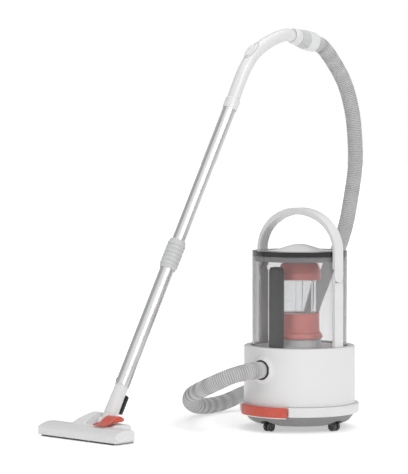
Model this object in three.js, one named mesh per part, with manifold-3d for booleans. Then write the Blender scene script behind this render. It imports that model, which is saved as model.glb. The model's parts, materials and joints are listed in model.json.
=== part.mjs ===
// A canister vacuum cleaner: a round base on four casters that holds the motor, a clear dust
// tank with its filter, a folding carry handle, a ribbed hose, a telescopic wand and a floor
// nozzle. Millimetres, +Z up. The body is drawn about its own upright axis, the hose inlet and
// the foot pedal face -Y, and the whole is then shifted so that the origin lies on the floor
// in the middle of the machine without its hose.
import * as THREE from "three";
import { mergeVertices } from "three/addons/utils/BufferGeometryUtils.js";
import Module from "manifold-3d";

const wasm = await Module();
wasm.setup();

// ---- driving dimensions ----
const GAP = 0.3; // clearance between pieces that meet
const FACETS = { large: 32, medium: 20, small: 14, tiny: 10 }; // sides of a round piece

const FLANGE_R = 144.5; // white ring around the base
const FLANGE_Z = [40, 63];
const DRUM_R = 135;
const DRUM_TOP = 202;
const SEAT_R = 117.8; // well in the drum's top that the tank stands in
const SEAT_Z = 190;
const TANK_R = 115;
const TANK_WALL = 3;
const DOME_R = 78;
const DOME_TOP = 447;

const INLET_Z = 149.5;
const INLET_R = 22.6;
const HOSE_R = 20;
const HOSE_WALL = 1.8;
const HOSE_SIDES = 8;
const HOSE_STEPS = 48;

const PEDAL_R = 148.5;
const PEDAL_HALF = THREE.MathUtils.degToRad(29.5);
const PEDAL_PIVOT = [-100, 48]; // y, z

const HANDLE_IN = 116.3;
const HANDLE_OUT = 125.9;
const HANDLE_HALF = 15; // half the band's width
const HANDLE_MID = 120.75; // where the two leaves of the handle's lap joint meet
const HANDLE_PIVOT = 372;
const HANDLE_SPRING = 431; // where the arch leaves its straight sides
const HANDLE_TOP = 535;
const HANDLE_CROWN = 17; // the band's thickness at the top of the arch

const CASTER_STEM_R = 98;
const CASTER_TRAIL = 12;
const CASTER_WHEEL_R = 12;
const CASTER_POCKET_R = 27;

const WAND_X = -205;
const WAND_FOOT = [-403, 117]; // y, z of the lower tube's end
const WAND_LEAN = THREE.MathUtils.degToRad(29.57); // from the vertical, towards +Y
const LOWER_R = 17.5;
const UPPER_R = 16;
const NECK_R = 16;
const COLLAR = [310, 387]; // along the wand
const UPPER = [250, 772];
const ELBOW_AT = -97.7; // along the wand, the pivot of the nozzle

const CUFF_AXIS = [204, 965]; // y, z of the point where the grip ends
const CUFF_DROP = THREE.MathUtils.degToRad(10);

const NOZZLE_X = [-342, -77];
const NOZZLE_Y = [-547.5, -482.5];
const NOZZLE_PIVOT = [-451, 32]; // y, z
const SLOT_HALF = 21.3; // the gap in the nozzle that the neck swings in

const ORIGIN_SHIFT = [98.75, 126.48, 0];

// ---- materials ----
const finish = (color, roughness, metalness = 0, opacity = 1) =>
  new THREE.MeshStandardMaterial({
    color, roughness, metalness, opacity, transparent: opacity < 1,
  });
const WHITE = finish(0xebebea, 0.32);
const GREY = finish(0xa4a6a8, 0.5);
const PALE = finish(0xd2d3d4, 0.4);
const DARK = finish(0x3a3b3d, 0.55);
const BLACK = finish(0x17181a, 0.3);
const RED = finish(0xc4473b, 0.4);
const SMOKE = finish(0x55585c, 0.08, 0, 0.35);
const CLEAR = finish(0xe6eaec, 0.1, 0, 0.4);
const HOSE = finish(0xb9babc, 0.55);
const CHROME = finish(0xd5d7da, 0.18, 1);
const STEEL = finish(0x8e9196, 0.35, 1);
const FOAM = finish(0x5c5e62, 0.95);
const COPPER = finish(0xa8683c, 0.4, 0.8);

// ---- solids ----
// A closed geometry as a manifold solid with its faces pointing outwards.
function solid(geometry) {
  const bare = geometry.clone();
  bare.deleteAttribute("normal");
  bare.deleteAttribute("uv");
  const merged = mergeVertices(bare, 1e-4);
  const triVerts = new Uint32Array(merged.index.array);
  const build = () => new wasm.Manifold(
    new wasm.Mesh({ numProp: 3, vertProperties: merged.attributes.position.array, triVerts }),
  );
  const made = build();
  if (made.volume() > 0) return made;
  for (let i = 0; i < triVerts.length; i += 3) {
    [triVerts[i + 1], triVerts[i + 2]] = [triVerts[i + 2], triVerts[i + 1]];
  }
  return build();
}

// The solid as a geometry that three.js can show.
function shown(body) {
  const m = body.getMesh();
  const positions = new Float32Array(m.numVert * 3);
  for (let i = 0; i < m.numVert; i += 1) {
    positions.set(m.vertProperties.subarray(i * m.numProp, i * m.numProp + 3), i * 3);
  }
  const geometry = new THREE.BufferGeometry();
  geometry.setAttribute("position", new THREE.BufferAttribute(positions, 3));
  geometry.setIndex(new THREE.BufferAttribute(new Uint32Array(m.triVerts), 1));
  return geometry;
}

const join = (first, ...rest) => rest.reduce((a, b) => a.add(b), first);
const cut = (first, ...rest) => rest.reduce((a, b) => a.subtract(b), first);

// A piece turned about the Z axis from [radius, height] points.
function turned(points, segments = FACETS.medium) {
  const profile = points.map(([r, z]) => new THREE.Vector2(r, z));
  return new THREE.LatheGeometry(profile, segments).rotateX(Math.PI / 2);
}

// A ring of rectangular section about Z.
const ring = (inner, outer, z0, z1, segments = FACETS.medium) =>
  turned([[inner, z0], [outer, z0], [outer, z1], [inner, z1], [inner, z0]], segments);

// A rod about Z, standing at x, y.
const rod = (r, z0, z1, segments = FACETS.tiny, x = 0, y = 0) =>
  new THREE.CylinderGeometry(r, r, z1 - z0, segments)
    .rotateX(Math.PI / 2).translate(x, y, (z0 + z1) / 2);

// A rod along X at y, z.
const rodX = (r, x0, x1, y, z, segments = FACETS.tiny) =>
  new THREE.CylinderGeometry(r, r, x1 - x0, segments)
    .rotateZ(Math.PI / 2).translate((x0 + x1) / 2, y, z);

const block = (x, y, z) =>
  new THREE.BoxGeometry(x[1] - x[0], y[1] - y[0], z[1] - z[0])
    .translate((x[0] + x[1]) / 2, (y[0] + y[1]) / 2, (z[0] + z[1]) / 2);

const outline = (points) => new THREE.Shape(points.map(([a, b]) => new THREE.Vector2(a, b)));

// A [y, z] outline carried along X.
const alongX = (shape, x0, x1, curveSegments = 5) =>
  new THREE.ExtrudeGeometry(shape, { depth: x1 - x0, bevelEnabled: false, curveSegments })
    .rotateY(Math.PI / 2).rotateX(Math.PI / 2).translate(x0, 0, 0);

// An [x, z] outline carried along Y.
const alongY = (shape, y0, y1, curveSegments = 16) =>
  new THREE.ExtrudeGeometry(shape, { depth: y1 - y0, bevelEnabled: false, curveSegments })
    .rotateX(Math.PI / 2).translate(0, y1, 0);

// A rectangle with round corners; r holds the radii from low x, low y, counter-clockwise.
function roundedRect(x, y, [r0, r1, r2, r3]) {
  const s = new THREE.Shape();
  s.moveTo(x[0] + r0, y[0]);
  s.lineTo(x[1] - r1, y[0]);
  s.absarc(x[1] - r1, y[0] + r1, r1, -Math.PI / 2, 0);
  s.lineTo(x[1], y[1] - r2);
  s.absarc(x[1] - r2, y[1] - r2, r2, 0, Math.PI / 2);
  s.lineTo(x[0] + r3, y[1]);
  s.absarc(x[0] + r3, y[1] - r3, r3, Math.PI / 2, Math.PI);
  s.lineTo(x[0], y[0] + r0);
  s.absarc(x[0] + r0, y[0] + r0, r0, Math.PI, Math.PI * 1.5);
  return s;
}

const upright = (shape, z0, z1, curveSegments = 4) =>
  new THREE.ExtrudeGeometry(shape, { depth: z1 - z0, bevelEnabled: false, curveSegments })
    .translate(0, 0, z0);

// A sector of a ring about Z, centred on -Y.
function sector(inner, outer, half, z0, z1) {
  const s = new THREE.Shape();
  s.absarc(0, 0, outer, -Math.PI / 2 - half, -Math.PI / 2 + half, false);
  s.absarc(0, 0, inner, -Math.PI / 2 + half, -Math.PI / 2 - half, true);
  return upright(s, z0, z1, 9);
}

// A round rod of n sides carried along a curve.
function piped(curve, r, steps, sides) {
  const s = new THREE.Shape();
  for (let i = 0; i < sides; i += 1) {
    const a = (2 * Math.PI * i) / sides;
    if (i === 0) s.moveTo(r, 0);
    else s.lineTo(r * Math.cos(a), r * Math.sin(a));
  }
  return new THREE.ExtrudeGeometry(s, { steps, bevelEnabled: false, extrudePath: curve });
}

const machine = new THREE.Group();
const body = new THREE.Group();
body.position.set(...ORIGIN_SHIFT);
machine.add(body);

function add(name, shape, material, parent = body) {
  const mesh = new THREE.Mesh(shown(shape.isBufferGeometry ? solid(shape) : shape), material);
  mesh.name = name;
  parent.add(mesh);
}

// ---- base: pan, flange, drum ----
const casterAngles = { front: -Math.PI / 2, right: 0, rear: Math.PI / 2, left: Math.PI };

function chassisPan() {
  const outer = [[0, 14], [106, 14], [122, 21], [131, 34], [137, 39.7]];
  const inner = [[134, 39.7], [128.5, 35], [119.5, 23.5], [105, 17], [0, 17]];
  const envelope = solid(turned([...outer, [0, 39.7]], FACETS.large));
  let pan = solid(turned([...outer, ...inner], FACETS.large));
  for (const a of Object.values(casterAngles)) {
    const x = CASTER_STEM_R * Math.cos(a);
    const y = CASTER_STEM_R * Math.sin(a);
    const boss = solid(rod(CASTER_POCKET_R + 2, 14.5, 30.5, FACETS.small, x, y)).intersect(envelope);
    pan = cut(join(pan, boss),
      solid(rod(CASTER_POCKET_R, 0, 27.5, FACETS.small, x, y)),
      solid(rod(3.4, 20, 40, FACETS.tiny, x, y)));
  }
  for (const side of [-1, 1]) {
    const x = [side * 40 - 2, side * 40 + 2];
    pan = join(pan, solid(block(x, [-105, -95], [16, 53])));
  }
  return cut(pan, solid(rodX(3.3, -60, 60, ...PEDAL_PIVOT)));
}
add("chassis_pan", chassisPan(), GREY);

function baseFlange() {
  const [z0, z1] = FLANGE_Z;
  const ringBody = solid(turned([[131, z0], [142.5, z0], [FLANGE_R, z0 + 2], [FLANGE_R, z1 - 2],
    [142.5, z1], [131, z1], [131, z0]], FACETS.large));
  const recess = solid(sector(136.2, 160, PEDAL_HALF + 0.012, z0 - 5, z1 + 5));
  const slots = [-30, 30].map((x) => solid(block([x - 5, x + 5], [-150, -115], [z0 - 5, 58])));
  return cut(ringBody, recess, ...slots);
}
add("base_flange", baseFlange(), WHITE);

function drumShell() {
  const wall = solid(turned([
    [132.5, 63.3], [DRUM_R, 63.3], [DRUM_R, 197.5], [133.8, 200.8], [131, DRUM_TOP],
    [SEAT_R, DRUM_TOP], [SEAT_R, SEAT_Z], [104, SEAT_Z], [104, 187.5], [120.3, 187.5],
    [120.3, 199.5], [130, 199.5], [132.5, 197], [132.5, 63.3]], FACETS.large));
  // The raised collar around the inlet, a cone that melts into the drum.
  const collar = solid(turned([[0, 126], [34, 126], [34, 129.5], [29, 138], [25.5, 140.5],
    [0, 140.5]], FACETS.small).rotateX(Math.PI / 2).translate(0, 0, INLET_Z));
  const inside = solid(rod(132.5, INLET_Z - 40, INLET_Z + 38, FACETS.large));
  const bore = solid(rod(INLET_R, 100, 160, FACETS.small).rotateX(Math.PI / 2).translate(0, 0, INLET_Z));
  const cordBore = solid(rod(6.3, 120, 150).rotateX(-Math.PI / 2).translate(0, 0, 84));
  return cut(join(wall, collar.subtract(inside)), bore, cordBore);
}
add("drum_shell", drumShell(), WHITE);

const inletRing = (inner, outer, y0, y1) =>
  ring(inner, outer, y0, y1, FACETS.small).rotateX(Math.PI / 2).translate(0, 0, INLET_Z);
add("inlet_seal", inletRing(20.7, INLET_R - GAP, 118, 139.6), BLACK);
add("hose_end_fitting", inletRing(16, 20.3, 106, 137), PALE);
add("cord_gland", cut(
  join(solid(rod(6, 128, 141)), solid(rod(9, 135.4, 138))), solid(rod(3, 120, 150)),
).rotate([-90, 0, 0]).translate([0, 0, 84]), DARK);

// The inlet elbow: from the hose fitting inwards, then straight up beside the filter.
function inletElbow() {
  const bend = new THREE.CurvePath();
  const knee = new THREE.QuadraticBezierCurve3(
    new THREE.Vector3(0, -103, INLET_Z), new THREE.Vector3(0, -84, INLET_Z),
    new THREE.Vector3(0, -84, INLET_Z + 24));
  bend.add(new THREE.LineCurve3(new THREE.Vector3(0, -105.6, INLET_Z), knee.v0));
  bend.add(knee);
  bend.add(new THREE.LineCurve3(knee.v2, new THREE.Vector3(0, -84, 192.4)));
  const outer = solid(piped(bend, 18, 8, 12));
  return outer.subtract(solid(piped(bend, 15.5, 8, 12)));
}
add("inlet_duct", inletElbow(), GREY);

// ---- motor ----
add("motor_deck", cut(
  join(solid(ring(27.5, 131.5, 118, 121)), solid(ring(27.5, 30, 118, 192.4))),
  ...[0, 1, 2, 3].map((i) => {
    const a = Math.PI / 4 + (i * Math.PI) / 2;
    return solid(rod(9, 110, 130, 12, 104 * Math.cos(a), 104 * Math.sin(a)));
  })), PALE);
add("motor_damper", ring(42, 56, 17.3, 30), BLACK);
function motorHousing() {
  const can = solid(turned([[12, 30.3], [62, 30.3], [64, 34], [64, 117.7], [40, 117.7],
    [40, 115.2], [61.5, 115.2], [61.5, 33], [12, 33], [12, 30.3]]));
  const vents = [];
  for (let i = 0; i < 4; i += 1) {
    vents.push(solid(block([50, 70], [-9, 9], [42, 50])).rotate([0, 0, i * 90]));
  }
  return cut(can, ...vents);
}
add("motor_housing", motorHousing(), PALE);
add("motor_stator", ring(24, 44, 52, 88, FACETS.small), COPPER);
add("motor_rotor", turned([[0, 36], [5, 36], [5, 50], [21, 50], [21, 90], [5, 90], [5, 112],
  [0, 112]], FACETS.small), STEEL);
function impeller() {
  let wheel = solid(turned([[5.3, 96], [50, 96], [50, 97.6], [12, 99], [9, 110], [5.3, 110],
    [5.3, 96]], FACETS.small));
  for (let i = 0; i < 7; i += 1) {
    const blade = block([11, 49], [-0.9, 0.9], [97, 107]).rotateZ((i * 2 * Math.PI) / 7);
    wheel = join(wheel, solid(blade));
  }
  return wheel;
}
add("impeller", impeller(), STEEL);
add("exhaust_filter", ring(70, 88, 36, 112), FOAM);

// ---- foot pedal and switch ----
function footPedal() {
  const pad = solid(sector(138.3, PEDAL_R, PEDAL_HALF, 38.3, 62.7));
  const [py, pz] = PEDAL_PIVOT;
  const arms = [-30, 30].map((x) => solid(block([x - 4, x + 4], [-141, py + 6], [44, 52])));
  const web = solid(block([-34, 34], [-120, -114], [44.4, 50]));
  return cut(join(pad, ...arms, web), solid(rodX(3.3, -50, 50, py, pz)));
}
add("foot_pedal", footPedal(), RED);
add("pedal_strip", sector(138.6, 146.5, PEDAL_HALF - 0.02, 36.4, 38), CHROME);
add("pedal_pin", rodX(3, -43, 43, ...PEDAL_PIVOT), STEEL);
add("switch_body", solid(block([-10, 10], [-122.5, -107], [30.8, 36.5]))
  .subtract(solid(rod(3.3, 32, 40, FACETS.tiny, 0, -117))), BLACK);
add("switch_plunger", rod(3, 34.6, 43.8, FACETS.tiny, 0, -117), RED);

// ---- casters ----
function casterFork() {
  const leg = outline([[-5, 25], [5, 25], [CASTER_TRAIL + 4, 16], [CASTER_TRAIL + 4, 9],
    [CASTER_TRAIL - 4, 8], [-5, 19]]);
  return cut(
    join(solid(rod(3, 24.5, 33)), solid(rod(9.5, 24.5, 27.2)), solid(alongY(leg, -2.5, 2.5))),
    solid(rod(2.4, -10, 10, 10).rotateX(Math.PI / 2).translate(CASTER_TRAIL, 0, CASTER_WHEEL_R)));
}
const twinWheel = () => turned([
  [0, -10], [10, -10], [CASTER_WHEEL_R, -8], [CASTER_WHEEL_R, -3.2], [2, -3.2],
  [2, 3.2], [CASTER_WHEEL_R, 3.2], [CASTER_WHEEL_R, 8], [10, 10], [0, 10]], FACETS.small)
  .rotateX(Math.PI / 2).translate(CASTER_TRAIL, 0, CASTER_WHEEL_R);
for (const [where, angle] of Object.entries(casterAngles)) {
  const caster = new THREE.Group();
  caster.position.set(CASTER_STEM_R * Math.cos(angle), CASTER_STEM_R * Math.sin(angle), 0);
  caster.rotation.z = angle;
  body.add(caster);
  add("caster_fork_" + where, casterFork(), GREY, caster);
  add("caster_wheel_" + where, twinWheel(), DARK, caster);
}

// ---- tank, filter, lid ----
const tankInner = TANK_R - TANK_WALL;
add("tank_shell", turned([[106, 190.3], [TANK_R, 190.3], [TANK_R, 418.7], [tankInner, 418.7],
  [tankInner, 192.7], [106, 192.7], [106, 190.3]], FACETS.large), SMOKE);
function tankFloor() {
  const floorBody = solid(turned([[27.8, 193], [tankInner - GAP, 193], [tankInner - GAP, 199],
    [54, 199], [52, 217.7], [27.8, 217.7], [27.8, 193]], FACETS.large));
  return cut(floorBody, solid(rod(18.6, 180, 230, FACETS.tiny, 0, -84)));
}
add("tank_floor", tankFloor(), GREY);
add("inlet_riser", cut(solid(rod(18, 192.7, 394, FACETS.tiny, 0, -84)),
  solid(rod(15.8, 180, 390, FACETS.tiny, 0, -84)),
  solid(block([0, 30], [-112, -56], [356, 386]))), DARK);

add("filter_flange", turned([[27.8, 218], [56, 218], [56, 226], [53, 231], [51, 232], [27.8, 232],
  [27.8, 218]]), RED);
add("filter_cup", turned([[27.8, 232.3], [50.5, 232.3], [48.4, 240], [48, 279], [45.5, 279], [45.5, 235],
  [27.8, 235], [27.8, 232.3]]), RED);
function filterCage() {
  let cage = solid(ring(38.4, 40, 279.3, 360.7));
  cage = join(cage, solid(ring(34, 40, 279.3, 281.5)), solid(ring(34, 40, 358.5, 360.7)));
  for (let i = 0; i < 6; i += 1) {
    const rib = block([39, 41.6], [-0.8, 0.8], [279.3, 360.7]).rotateZ((i * Math.PI) / 3);
    cage = join(cage, solid(rib));
  }
  return cage;
}
add("filter_cage", filterCage(), CLEAR);
add("filter_cap", turned([[0, 400], [42, 400], [46.5, 396], [49.5, 386], [52, 376], [52, 361],
  [49.5, 361], [49.5, 375], [42, 397], [0, 397]]), RED);
add("filter_core", ring(26, 40, 236, 277, FACETS.small), WHITE);

add("lid_ring", turned([[112.3, 419], [TANK_R, 419], [TANK_R, 429.3], [113.4, 431],
  [DOME_R + GAP, 431], [DOME_R + GAP, 428], [109, 428], [112.3, 425], [112.3, 419]],
  FACETS.large), BLACK);
add("lid_skirt", turned([[108.4, 406], [110.1, 406], [111, 408], [111, 424], [108.4, 427.4],
  [108.4, 406]], FACETS.large), DARK);
function lidDome() {
  const top = [];
  const under = [];
  const steps = 5;
  for (let i = 0; i <= steps; i += 1) {
    const r = (DOME_R * i) / steps;
    // A cosine bell: flat at the crown and at the rim.
    const z = 430.6 + ((DOME_TOP - 430.6) * (1 + Math.cos((Math.PI * r) / DOME_R))) / 2;
    top.push([r, z]);
    under.unshift([r * 0.97, z - 3]);
  }
  return turned([...top, ...under]);
}
add("lid_dome", lidDome(), PALE);

// ---- carry handle: two fixed legs and an arch that folds forwards on two pins ----
const pivotDisc = (r, x0, x1) => solid(rodX(r, x0, x1, 0, HANDLE_PIVOT, FACETS.small));
// Puts a piece of the +X side on the side asked for.
const sideX = (side, a, b) => (side > 0 ? [a, b] : [-b, -a]);

function handleLeg(side) {
  const whole = sideX(side, HANDLE_IN, HANDLE_OUT);
  const leaf = sideX(side, HANDLE_IN, HANDLE_MID - GAP / 2);
  const outerLeaf = sideX(side, HANDLE_MID - GAP / 2, HANDLE_OUT + 2);
  const shank = solid(block(whole, [-HANDLE_HALF, HANDLE_HALF], [DRUM_TOP + GAP, HANDLE_PIVOT - 15.4]));
  const rear = solid(block(whole, [0, HANDLE_HALF], [HANDLE_PIVOT - 15.6, HANDLE_PIVOT]));
  const neck = solid(block(leaf, [-8, 8], [HANDLE_PIVOT - 16, HANDLE_PIVOT]));
  const leg = join(cut(join(shank, rear), pivotDisc(15.4, ...outerLeaf)), neck, pivotDisc(15, ...leaf));
  return leg.subtract(pivotDisc(4.3, ...sideX(side, 110, 130)));
}

function handleArch() {
  const rise = HANDLE_TOP - HANDLE_SPRING;
  const s = new THREE.Shape();
  s.moveTo(HANDLE_OUT, HANDLE_PIVOT);
  s.lineTo(HANDLE_OUT, HANDLE_SPRING);
  s.absellipse(0, HANDLE_SPRING, HANDLE_OUT, rise, 0, Math.PI, false);
  s.lineTo(-HANDLE_OUT, HANDLE_PIVOT);
  s.lineTo(-HANDLE_IN, HANDLE_PIVOT);
  s.lineTo(-HANDLE_IN, HANDLE_SPRING);
  s.absellipse(0, HANDLE_SPRING, HANDLE_IN, rise - HANDLE_CROWN, Math.PI, 0, true);
  s.lineTo(HANDLE_IN, HANDLE_PIVOT);
  let arch = solid(alongY(s, -HANDLE_HALF, HANDLE_HALF, 10));
  for (const side of [-1, 1]) {
    const leaf = sideX(side, HANDLE_MID + GAP / 2, HANDLE_OUT);
    arch = join(arch, pivotDisc(15, ...leaf));
    arch = cut(arch,
      pivotDisc(17.8, ...sideX(side, HANDLE_IN - 3, HANDLE_MID + GAP / 2)),
      pivotDisc(4.3, ...sideX(side, 110, 130)));
  }
  return arch;
}
add("handle_leg_left", handleLeg(-1), WHITE);
add("handle_leg_right", handleLeg(1), WHITE);
add("handle_arch", handleArch(), WHITE);
for (const [name, side] of [["handle_pin_left", -1], ["handle_pin_right", 1]]) {
  add(name, rodX(4, ...sideX(side, HANDLE_IN + 0.5, HANDLE_OUT - 0.4), 0, HANDLE_PIVOT), STEEL);
}

// ---- hose: down from the cuff behind the tank, a loop on the floor, into the inlet ----
const HOSE_ROUTE = [
  [-205, 293.5, 949], [-204, 319, 942.5], [-200, 353, 912], [-191, 397, 848], [-184, 420, 773],
  [-181, 428, 700], [-179, 427, 634], [-180, 413, 556], [-182, 392, 475], [-187, 370, 418],
  [-199, 337, 346], [-211, 312, 289], [-221, 292, 232], [-238, 268, 168], [-269, 229, 103],
  [-305, 188, 62], [-330, 145, 40], [-342, 98, 25], [-341, 45, 21.5], [-324, -16, 27],
  [-284, -81, 43], [-228, -145, 62], [-163, -203, 84], [-100, -238, 104], [-55, -237, 123],
  [-24, -218, 139], [-7, -191, 147], [-1, -162, 149.5], [0, -138.4, 149.5],
];
const hoseCurve = new THREE.CatmullRomCurve3(HOSE_ROUTE.map((p) => new THREE.Vector3(...p)));
add("hose", cut(solid(piped(hoseCurve, HOSE_R, HOSE_STEPS, HOSE_SIDES)),
  solid(piped(hoseCurve, HOSE_R - HOSE_WALL, HOSE_STEPS, HOSE_SIDES))), HOSE);

// ---- cuff, swivel and grip, about an axis that drops 10 degrees towards the hose ----
const swivel = new THREE.Group();
swivel.position.set(WAND_X, ...CUFF_AXIS);
swivel.rotation.x = -Math.PI / 2 - CUFF_DROP;
body.add(swivel);
add("hose_cuff", turned([[17, 52.3], [24.5, 52.3], [25.2, 58], [25.2, 80], [23.5, 87.8], [17, 87.8],
  [17, 52.3]], FACETS.small), WHITE, swivel);
function bellowsRings() {
  const points = [[17, 24.3], [20.6, 24.3]];
  const ribs = 5;
  for (let i = 0; i < ribs; i += 1) {
    const z = 25 + i * 5.4;
    const r = 21 + i * 0.75;
    points.push([r, z + 2], [r - 1.8, z + 4.6]);
  }
  return turned([...points, [22.5, 52], [17, 52], [17, 24.3]], FACETS.small);
}
add("cuff_bellows", bellowsRings(), GREY, swivel);
add("grip_ring", turned([[13.5, 2.3], [18.5, 2.3], [20.4, 5], [20.4, 10], [19.4, 11.5], [20.6, 13],
  [20.6, 22], [19, 24], [13.5, 24], [13.5, 2.3]], FACETS.small), WHITE, swivel);

const wand = new THREE.Group();
wand.position.set(WAND_X, ...WAND_FOOT);
wand.rotation.x = -WAND_LEAN;
body.add(wand);

const onWand = (s) => [
  WAND_FOOT[0] + s * Math.sin(WAND_LEAN), WAND_FOOT[1] + s * Math.cos(WAND_LEAN),
];
const GRIP_ROUTE = [
  onWand(756), onWand(776), [9, 847], [31, 881.5], [58, 911], [93, 935], [131, 952], [168, 963.6],
  [188, 966.6], [203.5, 964.9],
];
const gripCurve = new THREE.CatmullRomCurve3(
  GRIP_ROUTE.map(([y, z]) => new THREE.Vector3(WAND_X, y, z)));
function grip() {
  const tubeSocket = new THREE.CylinderGeometry(16.4, 16.4, 44, FACETS.small);
  const sleeve = new THREE.CylinderGeometry(18, 18, 28, FACETS.small);
  for (const piece of [tubeSocket, sleeve]) {
    piece.rotateX(Math.PI / 2 - WAND_LEAN);
  }
  sleeve.translate(WAND_X, ...onWand(770));
  tubeSocket.translate(WAND_X, ...onWand(752));
  return cut(join(solid(piped(gripCurve, 15.6, 12, 12)), solid(sleeve)),
    solid(piped(gripCurve, 11.5, 12, 8)), solid(tubeSocket));
}
add("grip", grip(), WHITE);

// The bleed slider rides on the outside of the grip's bend.
const BLEED_AT = 0.5; // along the grip
const bleed = new THREE.Group();
const bleedPoint = gripCurve.getPointAt(BLEED_AT);
const bleedTangent = gripCurve.getTangentAt(BLEED_AT);
bleed.position.copy(bleedPoint);
bleed.rotation.x = Math.atan2(bleedTangent.z, bleedTangent.y);
body.add(bleed);
add("bleed_slider", upright(roundedRect([-8, 8], [-19, 19], [8, 8, 8, 8]), 16.3, 20.6), PALE, bleed);

// ---- wand ----
function upperTube() {
  let tube = solid(ring(14.8, UPPER_R, ...UPPER, FACETS.small));
  for (let s = 410; s <= 730; s += 32) {
    const notch = block([-17, -15.2], [-3, 3], [s, s + 5]).rotateZ(0.72);
    tube = tube.subtract(solid(notch));
  }
  return tube;
}
add("upper_tube", upperTube(), CHROME, wand);
add("lower_tube", ring(NECK_R + 0.5, LOWER_R, 0, 372, FACETS.small), CHROME, wand);
function clampCollar() {
  const points = [[LOWER_R + GAP, COLLAR[0]], [19.5, COLLAR[0]], [20.5, COLLAR[0] + 3]];
  const ribs = 5;
  const pitch = (COLLAR[1] - COLLAR[0] - 14) / ribs;
  for (let i = 0; i < ribs; i += 1) {
    const z = COLLAR[0] + 7 + i * pitch;
    points.push([20.5, z], [22.6, z + 0.2 * pitch], [22.6, z + 0.7 * pitch]);
  }
  points.push([20.5, COLLAR[1] - 3], [19, COLLAR[1]], [UPPER_R + GAP, COLLAR[1]],
    [UPPER_R + GAP, 372.6], [LOWER_R + GAP, 372.6], [LOWER_R + GAP, COLLAR[0]]);
  return turned(points, FACETS.small);
}
add("clamp_collar", clampCollar(), GREY, wand);

// ---- nozzle neck, elbow and parking rib ----
add("nozzle_neck", turned([[13, -75.6], [17.4, -75.6], [17, -60], [NECK_R + 0.2, -20],
  [NECK_R + 0.2, -1], [NECK_R, -GAP], [NECK_R, 24], [13, 24], [13, -75.6]], FACETS.small),
  WHITE, wand);
add("parking_rib", block([-14, 14], [17.9, 22.5], [-64, -16]), DARK, wand);
const elbow = join(
  solid(rodX(17, -20.2, 20.2, 0, ELBOW_AT, FACETS.small)),
  solid(rod(18.4, ELBOW_AT, -75.9, FACETS.small)),
  solid(rodX(6, -33, 33, 0, ELBOW_AT)),
).subtract(solid(rod(12.5, ELBOW_AT - 6, -70)));
add("neck_elbow", elbow, WHITE, wand);

// ---- floor nozzle ----
const slot = [WAND_X - SLOT_HALF, WAND_X + SLOT_HALF];
const CHEEKS = [-272, -142];

function nozzleShell() {
  const [y0, y1] = NOZZLE_Y;
  const side = (d) => {
    const s = new THREE.Shape();
    s.moveTo(y0 + d, d ? -5 : 5);
    s.lineTo(y0 + d, 21 - d);
    s.quadraticCurveTo(y0 + 2 + d, 27 - d, y0 + 10, 29 - d);
    s.quadraticCurveTo(y0 + 32, 35.5 - d, y1 - 12, 33 - d);
    s.quadraticCurveTo(y1 - d, 31 - d, y1 - d, 22 - d);
    s.lineTo(y1 - d, d ? -5 : 5);
    return s;
  };
  const plan = (d) => solid(upright(roundedRect(
    [NOZZLE_X[0] + d, NOZZLE_X[1] - d], [y0 + d, y1 - d], [7, 7, 16, 16]), -10, 70));
  const outer = solid(alongX(side(0), ...NOZZLE_X)).intersect(plan(0));
  const cavity = solid(alongX(side(2.4), ...NOZZLE_X)).intersect(plan(2.4));
  const hood = new THREE.Shape();
  hood.moveTo(-484, 14);
  hood.lineTo(-512, 30);
  hood.quadraticCurveTo(-490, 44, -474, 53);
  hood.quadraticCurveTo(-460, 60, -446, 57);
  hood.quadraticCurveTo(-434, 52, -432, 36);
  hood.lineTo(-433, 14);
  // The hood slopes down to the left.
  const slope = outline([[-272, 10], [-272, 28], [-262, 44], [-248, 54], [-236, 62], [-180, 62],
    [-180, 10]]);
  const leftCheek = solid(alongX(hood, CHEEKS[0], slot[0]))
    .intersect(solid(alongY(slope, -520, -430)));
  const low = outline([[-484, 14], [-500, 30], [-480, 36], [-446, 36], [-434, 30], [-433, 14]]);
  const rightCheek = solid(alongX(low, slot[1], CHEEKS[1]));
  const lugs = CHEEKS.map((x, i) => solid(block(
    i ? [x - 3.5, x] : [x, x + 3.5], [-445, -435], [2.5, 16])));
  const swing = solid(block(slot, [-478, -425], [-10, 80]));
  return cut(join(cut(outer, cavity), leftCheek, rightCheek, ...lugs), swing,
    solid(rodX(6.7, WAND_X - 36, WAND_X + 36, ...NOZZLE_PIVOT)),
    solid(rodX(2.4, -280, -130, -440, 6.5, 12)));
}
add("nozzle_shell", nozzleShell(), WHITE);
add("sole_plate", solid(upright(roundedRect([-339.6, -79.4], [-541, -484.8], [4, 4, 14, 14]), 1.5, 4.7))
  .subtract(solid(block([-310, -110], [-524, -512], [0, 8]))), GREY);
add("brush_strip", block([-330, -89], [-544.6, -541.6], [0.6, 10]), BLACK);
add("nozzle_roller", turned([[0, -62], [2, -62], [2, -58.6], [6.5, -58.6], [6.5, -24], [4.5, -22],
  [4.5, 22], [6.5, 24], [6.5, 58.6], [2, 58.6], [2, 62], [0, 62]], FACETS.tiny)
  .rotateX(Math.PI / 2).rotateZ(Math.PI / 2).translate((CHEEKS[0] + CHEEKS[1]) / 2, -440, 6.5), DARK);

function modeRocker() {
  const s = new THREE.Shape();
  s.moveTo(-520, 38);
  s.lineTo(-519, 35.9);
  s.lineTo(-502, 36.4);
  s.lineTo(-486, 40.4);
  s.lineTo(-456, 41);
  s.quadraticCurveTo(-450, 46, -456, 51);
  s.quadraticCurveTo(-470, 62, -488, 50);
  s.quadraticCurveTo(-500, 41, -520, 38);
  return alongX(s, slot[1] + 1, -146);
}
add("mode_rocker", modeRocker(), RED);

export default machine;
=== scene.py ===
"""Canister vacuum cleaner: drum, dust tank, hose, wand and floor nozzle, in their finished looks.

Lengths inside the shape functions are millimetres unless a name says otherwise; every mesh is
stored in metres in the machine's own frame, +Z up, with -Y to the front.
"""
import json
import math

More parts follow.
